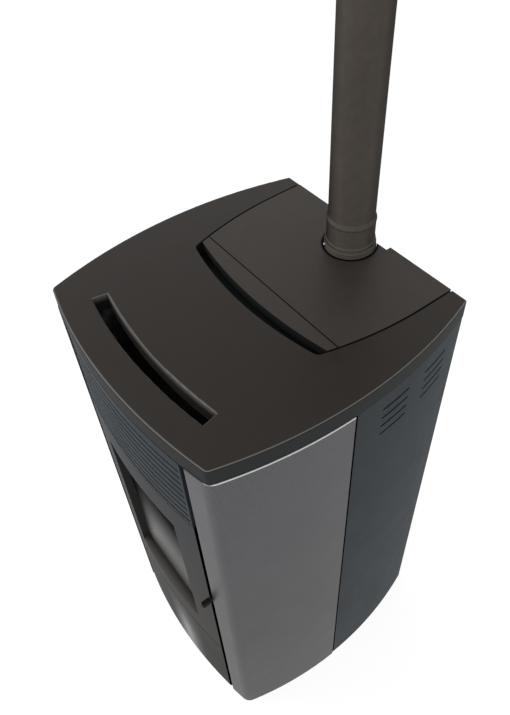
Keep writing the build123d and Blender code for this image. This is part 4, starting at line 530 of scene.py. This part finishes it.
def dress(nodes, finish):
    """Gives CAD pieces a finish, and shades their curved faces smoothly."""
    for name in nodes:
        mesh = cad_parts[name].data
        mesh.materials.clear()
        mesh.materials.append(finish)
        for face in mesh.polygons:
            face.use_smooth = True
            face.material_index = 0
        mesh.set_sharp_from_angle(angle=CAD_CREASE)


def add_piece(name, bm, body, slot, finish, *stands_for):
    """Makes an object from a mesh, rides it on its body and hides the CAD nodes that it stands for."""
    old = bpy.data.objects.get(name)
    if old is not None:
        bpy.data.objects.remove(old)
    mesh = bpy.data.meshes.new(name)
    bmesh.ops.recalc_face_normals(bm, faces=bm.faces)
    bm.to_mesh(mesh)
    bm.free()
    mesh.materials.append(finish)
    for face in mesh.polygons:
        face.use_smooth = True
    mesh.set_sharp_from_angle(angle=MADE_CREASE)
    made = bpy.data.objects.new(name, mesh)
    bpy.context.scene.collection.objects.link(made)
    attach(made, body)
    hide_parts(*stands_for)


def bridge_rings(bm, rings, closed=False, capped=False):
    """Joins rings of vertices into a skin, which closes on itself or gets a cap at each end."""
    for first, second in zip(rings, rings[1:] + (rings[:1] if closed else [])):
        count = len(first)
        for i in range(count):
            bm.faces.new((first[i], first[(i + 1) % count], second[(i + 1) % count], second[i]))
    if capped:
        bm.faces.new(rings[0])
        bm.faces.new(rings[-1])


def rounded_rectangle(x0, x1, z0, z1, radius, step):
    """Points of a rectangle with round corners, evenly spaced, each with the angle of its outward direction."""
    corners = ((x1 - radius, z1 - radius, 0), (x0 + radius, z1 - radius, 90),
               (x0 + radius, z0 + radius, 180), (x1 - radius, z0 + radius, 270))
    outline = []
    for cx, cz, start in corners:
        for i in range(CORNER_STEPS + 1):
            a = math.radians(start + 90 * i / CORNER_STEPS)
            outline.append((Vector((cx + radius * math.cos(a), cz + radius * math.sin(a))), a))
    points = []
    for (p, a), (q, b) in zip(outline, outline[1:] + outline[:1]):
        if b < a - math.pi:
            b += math.tau
        parts = max(1, round((q - p).length / step))
        for i in range(parts):
            t = i / parts
            points.append((p.lerp(q, t), a + (b - a) * t))
    return points


def sweep(bm, path, section, place):
    """Closed skin along a path. For each step, section gives its points as how far outwards and how far across, and
    place puts them in space."""
    rings, travelled, last = [], 0.0, path[0][0]
    for step, (point, a) in enumerate(path):
        travelled += (point - last).length
        last = point
        out = Vector((math.cos(a), math.sin(a)))
        rings.append([bm.verts.new(place(point + out * outwards, across))
                      for outwards, across in section(step, travelled)])
    bridge_rings(bm, rings, closed=True)


def upright(point, across):
    """Place of a path's point in an upright plane across the stove."""
    return point.x, across, point.y


def laid_flat(point, across):
    """Place of a path's point in a level plane."""
    return point.x, point.y, across


def screw_head(bm, centre, out, radius, height):
    """Domed head with a six-lobed recess, on a thin flange."""
    turn = out.to_track_quat("Z", "Y").to_matrix()
    steps, lobes, lobe_depth, floor = 36, 6, 0.16, 0.38
    # Each ring's share of the radius and of the height: first the outside, then the rim and wall of the recess.
    dome = ((1.0, 0.0), (1.0, 0.18), (0.97, 0.26), (0.80, 0.34), (0.76, 0.62), (0.66, 0.86), (0.50, 0.98))
    recess = ((0.40, 1.0), (0.36, 0.94), (0.34, 0.45))
    rings = []
    for share, rise in dome + recess:
        depth = lobe_depth if (share, rise) in recess else 0
        ring = []
        for i in range(steps):
            a = math.tau * i / steps
            r = radius * share * (1 + depth * math.cos(lobes * a))
            ring.append(bm.verts.new(centre + turn @ Vector((r * math.cos(a), r * math.sin(a), height * rise))))
        rings.append(ring)
    bridge_rings(bm, rings)
    for ring, rise in ((rings[0], 0.0), (rings[-1], floor)):
        middle = bm.verts.new(centre + turn @ Vector((0, 0, height * rise)))
        for i in range(steps):
            bm.faces.new((ring[i], ring[(i + 1) % steps], middle))


class STOVE_OT_top(Operator):
    """Paints the top plate, the lid with its grip, and the recess below them"""

    bl_idname = "stove.top"
    bl_label = "Top plate and lid"

    def execute(self, context):
        colours, sizes = settings(context)
        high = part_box("top_plate")[1].z
        # Slot box, and the heights over which its walls go from painted shade to painted light.
        slot = (SLOT_ACROSS, SLOT_ALONG, (high - 0.016, high - 0.001))
        dress(("top_plate",), plate_paint_with_painted_light("stove_paint_top_painted_light", colours.top_paint, colours.painted_cool_shade_rim,
                                                colours.painted_edge_highlight, sizes.paint_grain, 0.42, slot))
        low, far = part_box("flue_collar")
        axis = ((low.x + far.x) / 2, (low.y + far.y) / 2, high)
        # The lid's painted shadow round the pipe starts just outside this hole.
        hole = (far.x - low.x) / 2 + 0.0016
        dress(("hopper_lid", "lid_grip"),
              plate_paint_with_painted_light("stove_paint_lid_painted_light", colours.lid_paint, colours.painted_cool_shade_rim,
                                colours.painted_edge_highlight, sizes.paint_grain, 0.46, pipe=(axis, hole)))
        dress(("hopper_deck",), sprayed_stove_paint("dull_paint_recess", colours.recess_paint, sizes.paint_grain,
                                                    sizes.rub, dull=0.7, dusty=0.3))
        return {"FINISHED"}


class STOVE_OT_cladding(Operator):
    """Coats the side panels, the rear sheets and the base"""

    bl_idname = "stove.cladding"
    bl_label = "Cladding"

    def execute(self, context):
        colours, sizes = settings(context)
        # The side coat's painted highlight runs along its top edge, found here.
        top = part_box("side_panel_right")[1].z
        dress(("side_panel_right", "side_panel_left"),
              metallic_powder_coat("metallic_grey_powder_coat", colours.side_coat, colours.side_flake, sizes.flake,
                                   sizes.coat_grain, sizes.rub, colours.painted_top_edge_highlight, top, PANEL_CORNER_X))
        # This strip gets painted shade, black and without shine, in the seam.
        tucked = 0.0038     # the strip of the rear sheet that tucks in behind the front one
        dress(("rear_side_right", "rear_side_left", "rear_cover"),
              sprayed_stove_paint("fine_textured_powder_coat", colours.rear_coat, sizes.coat_grain, sizes.rub,
                                  dull=0.66, dusty=0.06, shine=0.19,
                                  seam=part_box("rear_side_right")[0].y + tucked))
        dress(("base_plate", "side_frame_right", "side_frame_left"),
              galvanised_sheet("galvanised_sheet", colours.zinc, sizes.spangle))
        return {"FINISHED"}


class STOVE_OT_front(Operator):
    """Paints the grille, the door frame, the lower panel and the latch"""

    bl_idname = "stove.front"
    bl_label = "Grille, door and latch"

    def execute(self, context):
        colours, sizes = settings(context)
        dress(("grille",), sprayed_stove_paint("satin_stove_paint_grille", colours.grille_paint, sizes.paint_grain,
                                               sizes.rub, dull=0.62, dusty=0.08, shine=0.17))
        low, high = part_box("door_glass")
        # Where painted light lies on the window's sill.
        sill = (high.x - 0.010, (low.y - 0.006, low.y - 0.022), (low.z + 0.008, low.z + 0.016))
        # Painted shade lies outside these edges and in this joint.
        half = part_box("door_frame")[1].x - 0.0042
        joint = (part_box("lower_panel")[1].z - 0.0009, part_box("door_frame")[0].z + 0.0010)
        dress(("door_frame", "lower_panel"),
              front_paint_with_painted_light("satin_stove_paint_door", colours.door_top_paint, colours.door_paint,
                                 colours.painted_sill_light, sizes.paint_grain, sizes.rub, half, joint, sill))
        dress(("door_latch",), sprayed_stove_paint("black_oxide_latch", colours.latch_paint, sizes.paint_grain,
                                                   sizes.rub, dull=0.4, dusty=0.1, shine=0.25))
        return {"FINISHED"}


class STOVE_OT_glass(Operator):
    """Finishes the pane, its clips and the door's hinges"""

    bl_idname = "stove.glass"
    bl_label = "Glass and hinges"

    def execute(self, context):
        colours = context.scene.stove_colours
        low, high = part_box("door_glass")
        dress(("door_glass",), ceramic_glass("smoked_glass_ceramic", colours.glass_ash, low.z, high.z))
        dress(("glass_clips", "hinge_brackets", "hinge_pins", "latch_catch"),
              zinc_plated_steel("bright_zinc_plate", colours.bright))
        return {"FINISHED"}


class STOVE_OT_seals(Operator):
    """Knits the rope seal of the door, and makes the tape round the glass and the seal on the hopper's rim"""

    bl_idname = "stove.seals"
    bl_label = "Rope seal, tape and hopper seal"

    def execute(self, context):
        colours, sizes = settings(context)
        yarn = knitted_glass_fibre("knitted_glass_fibre_rope", colours.rope)
        self.rope(yarn, sizes.rope_pitch)
        self.tape(yarn, sizes.tape_width)
        rubber = moulded_plastic("extruded_silicone_seal", colours.rubber, sizes.rub)
        self.hopper_seal(rubber, sizes.lid_seal_width)
        return {"FINISHED"}

    def rope(self, finish, pitch):
        """Rope of round section whose skin rises in the diamonds of a knitted sleeve."""
        low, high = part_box("door_seal")
        radius = (high.y - low.y) / 2
        middle_y = (high.y + low.y) / 2
        path = rounded_rectangle(low.x + radius, high.x - radius, low.z + radius, high.z - radius, 0.010, 0.0018)
        strands, sides, stitch = 4, 20, 0.1

        def section(step, travelled):
            points = []
            for k in range(sides):
                t, s = math.tau * k / sides, math.tau * travelled / pitch
                knit = abs(math.sin(strands * t / 2 + s / 2) * math.sin(strands * t / 2 - s / 2))
                r = radius * (1 - stitch + stitch * knit)
                points.append((r * math.cos(t), middle_y + r * math.sin(t)))
            return points

        bm = bmesh.new()
        sweep(bm, path, section, upright)
        add_piece("door_rope_seal", bm, "door", "rope", finish, "door_seal")

    def tape(self, finish, width):
        """Flat woven tape between the glass and its seat, with a raised ladder pattern."""
        low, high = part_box("glass_seal")
        thick = high.y - low.y
        profile = ((0, 0.2), (0.08, 0), (0.92, 0), (1, 0.2), (1, 0.8), (0.92, 1), (0.5, 1), (0.08, 1), (0, 0.8))

        def section(step, travelled):
            rung = 0.12 * thick if step % 2 else 0.0
            return [(-width * across, high.y - thick * rise + (rung if rise == 1 else 0)) for across, rise in profile]

        bm = bmesh.new()
        sweep(bm, rounded_rectangle(low.x, high.x, low.z, high.z, 0.003, 0.0035), section, upright)
        add_piece("glass_tape_seal", bm, "door", "rope", finish, "glass_seal")

    def hopper_seal(self, finish, width):
        """Extruded seal with a bulb on a narrow neck, on the hopper's rim."""
        low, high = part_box("lid_seal")
        tall = high.z - low.z
        profile = ((0, 0), (1, 0), (1, 0.28), (0.8, 0.34), (0.78, 0.42), (0.98, 0.6), (0.92, 0.84), (0.68, 0.98),
                   (0.32, 0.98), (0.08, 0.84), (0.02, 0.6), (0.22, 0.42), (0.2, 0.34), (0, 0.28))
        section = [(-width * across, low.z + tall * rise) for across, rise in profile]
        bm = bmesh.new()
        sweep(bm, rounded_rectangle(low.x, high.x, low.y, high.y, 0.006, 0.006), lambda *_: section, laid_flat)
        add_piece("hopper_rim_seal", bm, "stove", "rope", finish, "lid_seal")


class STOVE_OT_flue(Operator):
    """Enamels the flue pipe, and rolls the ribbed clamp collar at its foot"""

    bl_idname = "stove.flue"
    bl_label = "Flue"

    def execute(self, context):
        colours, sizes = settings(context)
        enamel = sprayed_stove_paint("matt_pipe_enamel", colours.pipe_enamel, sizes.paint_grain, sizes.rub,
                                     dull=0.66, dusty=0.12, shine=0.06, painted_turn_shade=0.85)
        dress(("flue_pipe",), enamel)
        self.collar(enamel, sizes.collar_foot)
        dress(("flue_riser", "flue_adapter", "air_inlet_tube"),
              galvanised_sheet("galvanised_pipe", shaded(colours.zinc, 0.8), sizes.spangle))
        return {"FINISHED"}

    def collar(self, finish, foot):
        """Band with three rolled ribs, slit at the screw, on a thin foot that closes most of the lid's hole."""
        low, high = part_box("flue_collar")
        centre_x, centre_y = (low.x + high.x) / 2, (low.y + high.y) / 2
        outer = (high.x - low.x) / 2
        inner = outer - 0.0053
        tall = high.z - low.z
        ribs, rib, foot_top = 3, 0.0012, 0.0008
        band = outer - rib
        profile = [(inner, 0.0), (outer + foot, 0.0), (outer + foot, foot_top), (band, 0.001)]
        for turn in range(ribs):
            for i in range(7):
                rise = rib * math.sin(math.pi * i / 6)
                profile.append((band + rise, 0.0016 + (turn + i / 6.6) * (tall - 0.0026) / ribs))
        profile += [(outer - 0.0014, tall), (inner, tall)]
        half_slit, slit_at, steps = math.radians(1.6), math.radians(225), 120
        bm = bmesh.new()
        rings = []
        for i in range(steps + 1):
            a = slit_at + half_slit + (math.tau - 2 * half_slit) * i / steps
            rings.append([bm.verts.new((centre_x + r * math.cos(a), centre_y + r * math.sin(a), low.z + z))
                          for r, z in profile])
        bridge_rings(bm, rings, capped=True)
        add_piece("ribbed_clamp_collar", bm, "stove", "pipe_black", finish, "flue_collar")


class STOVE_OT_screws(Operator):
    """Makes the screw heads of the cover and of the collar, and finishes the clips' screws and the feet"""

    bl_idname = "stove.screws"
    bl_label = "Screws and feet"

    def execute(self, context):
        colours, sizes = settings(context)
        plated = zinc_plated_steel("bright_zinc_screw", colours.bright, 0.0008)
        dress(("clip_screws",), plated)
        dress(("levelling_feet",), zinc_plated_steel("zinc_thread", colours.bright, 0.001, sizes.thread))
        self.cover_screws(plated, sizes.head, 0.0024)
        self.collar_screw(plated, 0.0036, 0.0034)
        return {"FINISHED"}

    def cover_screws(self, finish, radius, tall):
        """Heads along both edges of the rear cover."""
        low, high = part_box("cover_screws")
        bm = bmesh.new()
        for x in (low.x + radius, high.x - radius):
            for z in COVER_SCREW_Z:
                screw_head(bm, Vector((x, high.y - tall, z)), Vector((0, 1, 0)), radius, tall)
        add_piece("cover_screw_heads", bm, "stove", "bright_steel", finish, "cover_screws")

    def collar_screw(self, finish, radius, tall):
        """Head on the collar, facing away from the flue."""
        low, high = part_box("collar_screw")
        flue_low, flue_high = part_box("flue_pipe")
        centre, axis = (low + high) / 2, (flue_low + flue_high) / 2
        out = Vector((centre.x - axis.x, centre.y - axis.y, 0)).normalized()
        bm = bmesh.new()
        screw_head(bm, centre - out * 0.0019, out, radius, tall)
        add_piece("collar_screw_head", bm, "stove", "bright_steel", finish, "collar_screw")


class STOVE_OT_fire(Operator):
    """Finishes the firebox, its lining, the burner and the smoke passages"""

    bl_idname = "stove.fire"
    bl_label = "Firebox and burner"

    def execute(self, context):
        colours, sizes = settings(context)
        dress(("firebox", "exchanger_tubes", "air_plenum", "smoke_box", "exhaust_casing", "ash_pan"),
              heat_scaled_steel("heat_scaled_steel", colours.scale, 0.002))
        dress(("burn_pot",), sand_cast_iron("sand_cast_iron", colours.iron, sizes.casting_grain))
        dress(("fire_back", "fire_sides", "baffle"), vermiculite_board("pressed_vermiculite", colours.board))
        dress(("igniter",), zinc_plated_steel("igniter_steel", shaded(colours.bright, 0.7)))
        return {"FINISHED"}


class STOVE_OT_feed(Operator):
    """Finishes the hopper, the auger and its motor"""

    bl_idname = "stove.feed"
    bl_label = "Pellet feed"

    def execute(self, context):
        colours, sizes = settings(context)
        dress(("hopper", "auger_tube", "feed_chute", "blower_casing"),
              galvanised_sheet("galvanised_hopper_sheet", colours.zinc, sizes.spangle))
        dress(("auger_screw", "gearmotor"), zinc_plated_steel("zinc_plated_drive", colours.bright))
        return {"FINISHED"}


class STOVE_OT_fans(Operator):
    """Finishes the exhaust fan and the convection blower"""

    bl_idname = "stove.fans"
    bl_label = "Fans"

    def execute(self, context):
        dress(("exhaust_rotor", "exhaust_motor", "blower_rotor", "blower_motor"),
              zinc_plated_steel("zinc_plated_fan", context.scene.stove_colours.bright))
        return {"FINISHED"}


class STOVE_OT_electrics(Operator):
    """Finishes the control board, the switches and the inlet"""

    bl_idname = "stove.electrics"
    bl_label = "Electrical parts"

    def execute(self, context):
        colours, sizes = settings(context)
        dress(("power_inlet", "reset_button", "pressure_switch"),
              moulded_plastic("black_polyamide", colours.plastic, sizes.rub))
        dress(("rocker_switch",), moulded_plastic("red_polyamide", colours.red, sizes.rub))
        dress(("control_board",), circuit_laminate("green_circuit_laminate", colours.laminate))
        dress(("safety_thermostat",), zinc_plated_steel("zinc_plated_thermostat", colours.bright))
        return {"FINISHED"}


def seen_directly(tree):
    """1 for rays from the camera, off a shiny surface or through glass, and 0 for those that light matt surfaces."""
    ray = add_node(tree, "LightPath")
    seen = add_node(tree, "Math", {0: ray["Is Camera Ray"], 1: ray["Is Glossy Ray"]}, operation="ADD")
    return add_node(tree, "Math", {0: seen[0], 1: ray["Is Transmission Ray"]},
                    operation="ADD", use_clamp=True)[0]


class STOVE_OT_stage(Operator):
    """Lays the floor, sets the lights and places the camera"""

    bl_idname = "stove.stage"
    bl_label = "Stage"

    def execute(self, context):
        stage = context.scene.stove_stage
        self.floor(stage)
        self.ceiling(stage)
        self.world(context.scene, stage)
        self.lamp("key_lamp", place=(-1.9, -1.9, 3.0), width=2.2, power=stage.key)
        self.lamp("fill_lamp", place=(1.9, -1.6, 2.4), width=2.0, power=stage.fill)
        self.camera(context.scene, stage)
        context.scene.view_settings.view_transform = "Standard"
        return {"FINISHED"}

    def flat_sheet(self, name, radius, height, finish):
        """Large round sheet of the stage."""
        bm = bmesh.new()
        bmesh.ops.create_circle(bm, cap_ends=True, segments=96, radius=radius)
        mesh = bpy.data.meshes.new(name)
        bm.to_mesh(mesh)
        bm.free()
        mesh.materials.append(finish)
        sheet = bpy.data.objects.new(name, mesh)
        sheet.location.z = height
        bpy.context.scene.collection.objects.link(sheet)
        return sheet

    def floor(self, stage):
        """Pale floor: its own glow fills in most of the shade, and what is left is the stove's soft shadow."""
        finish = bpy.data.materials.new("pale_floor_paper")
        tree = empty_tree(finish)
        level = add_node(tree, "MapRange", {"Value": seen_directly(tree), "To Min": 0.16, "To Max": 0.86})
        glow = add_node(tree, "Emission", {"Color": stage.floor_colour, "Strength": level[0]})
        paper = add_node(tree, "BsdfDiffuse", {"Color": stage.floor_paper})
        both = add_node(tree, "AddShader", {0: glow[0], 1: paper[0]})
        below = add_node(tree, "NewGeometry")["Backfacing"]
        through = add_node(tree, "BsdfTransparent")
        surface = add_node(tree, "MixShader", {0: below, 1: both[0], 2: through[0]})
        add_node(tree, "OutputMaterial", {"Surface": surface[0]})
        self.flat_sheet("studio_floor", 14, 0.0, finish)

    def ceiling(self, stage):
        """Grey ceiling that only reflections see."""
        finish = bpy.data.materials.new("studio_ceiling_grey")
        tree = empty_tree(finish)
        grey = add_node(tree, "Emission", {"Strength": stage.ceiling})
        add_node(tree, "OutputMaterial", {"Surface": grey[0]})
        card = self.flat_sheet("studio_ceiling", 5, 4.0, finish)
        card.visible_camera = False
        card.visible_diffuse = False
        card.visible_shadow = False

    def world(self, scene, stage):
        """White surroundings for the eye and for reflections, and a plain level of light for the rest."""
        world = bpy.data.worlds.new("studio")
        scene.world = world
        tree = empty_tree(world)
        level = add_node(tree, "MapRange", {"Value": seen_directly(tree), "To Min": stage.ambient})
        sky = add_node(tree, "Background", {"Color": (1, 1, 1), "Strength": level[0]})
        add_node(tree, "OutputWorld", {"Surface": sky[0]})

    def lamp(self, name, place, width, power):
        """Large square soft lamp aimed at the stove's middle."""
        light = bpy.data.lights.new(name, "AREA")
        light.size = width
        light.energy = power
        lamp = bpy.data.objects.new(name, light)
        lamp.location = place
        aim = Vector((0, 0, 0.7)) - Vector(place)
        lamp.rotation_euler = aim.to_track_quat("-Z", "Y").to_euler()
        bpy.context.scene.collection.objects.link(lamp)

    def camera(self, scene, stage):
        """Camera at the photograph's place, from its fitted position, turn and focal length."""
        a, e, r = stage.yaw, stage.pitch, stage.roll
        back = Vector((math.sin(a) * math.cos(e), -math.cos(a) * math.cos(e), math.sin(e)))
        right = (-back).cross(Vector((0, 0, 1))).normalized()
        up = right.cross(-back)
        turned_right = math.cos(r) * right + math.sin(r) * up
        turned_up = -math.sin(r) * right + math.cos(r) * up
        lens = bpy.data.cameras.new("camera")
        lens.sensor_width = 36
        lens.lens = stage.lens
        lens.clip_end = 60
        camera = bpy.data.objects.new("camera", lens)
        turn = Matrix((turned_right, turned_up, back)).transposed().to_4x4()
        camera.matrix_world = Matrix.Translation((stage.camera_x, stage.camera_y, stage.camera_z)) @ turn
        scene.collection.objects.link(camera)
        scene.camera = camera


class STOVE_PT_pieces(Panel):
    """Lists the stove's pieces, in the order in which they are made"""

    bl_idname = "STOVE_PT_pieces"
    bl_label = "Pellet stove"
    bl_space_type = "VIEW_3D"
    bl_region_type = "UI"
    bl_category = "Stove"

    def draw(self, context):
        layout = self.layout
        for operator in OPERATORS:
            layout.operator(operator.bl_idname, text=operator.bl_label)
        for group in ("stove_colours", "stove_sizes", "stove_stage"):
            box = layout.box()
            values = getattr(context.scene, group)
            for name in values.__annotations__:
                box.prop(values, name)


GROUPS = (StoveColours, StoveSizes, StoveStage)
OPERATORS = (STOVE_OT_top, STOVE_OT_cladding, STOVE_OT_front, STOVE_OT_glass, STOVE_OT_seals, STOVE_OT_flue,
             STOVE_OT_screws, STOVE_OT_fire, STOVE_OT_feed, STOVE_OT_fans, STOVE_OT_electrics, STOVE_OT_stage)


def register():
    for group in (*GROUPS, *OPERATORS, STOVE_PT_pieces):
        bpy.utils.register_class(group)
    bpy.types.Scene.stove_colours = PointerProperty(type=StoveColours)
    bpy.types.Scene.stove_sizes = PointerProperty(type=StoveSizes)
    bpy.types.Scene.stove_stage = PointerProperty(type=StoveStage)


def unregister():
    del bpy.types.Scene.stove_colours
    del bpy.types.Scene.stove_sizes
    del bpy.types.Scene.stove_stage
    for group in reversed((*GROUPS, *OPERATORS, STOVE_PT_pieces)):
        bpy.utils.unregister_class(group)


def main():
    register()
    for operator in OPERATORS:
        family, name = operator.bl_idname.split(".")
        getattr(getattr(bpy.ops, family), name)()


if __name__ == "__main__":
    main()
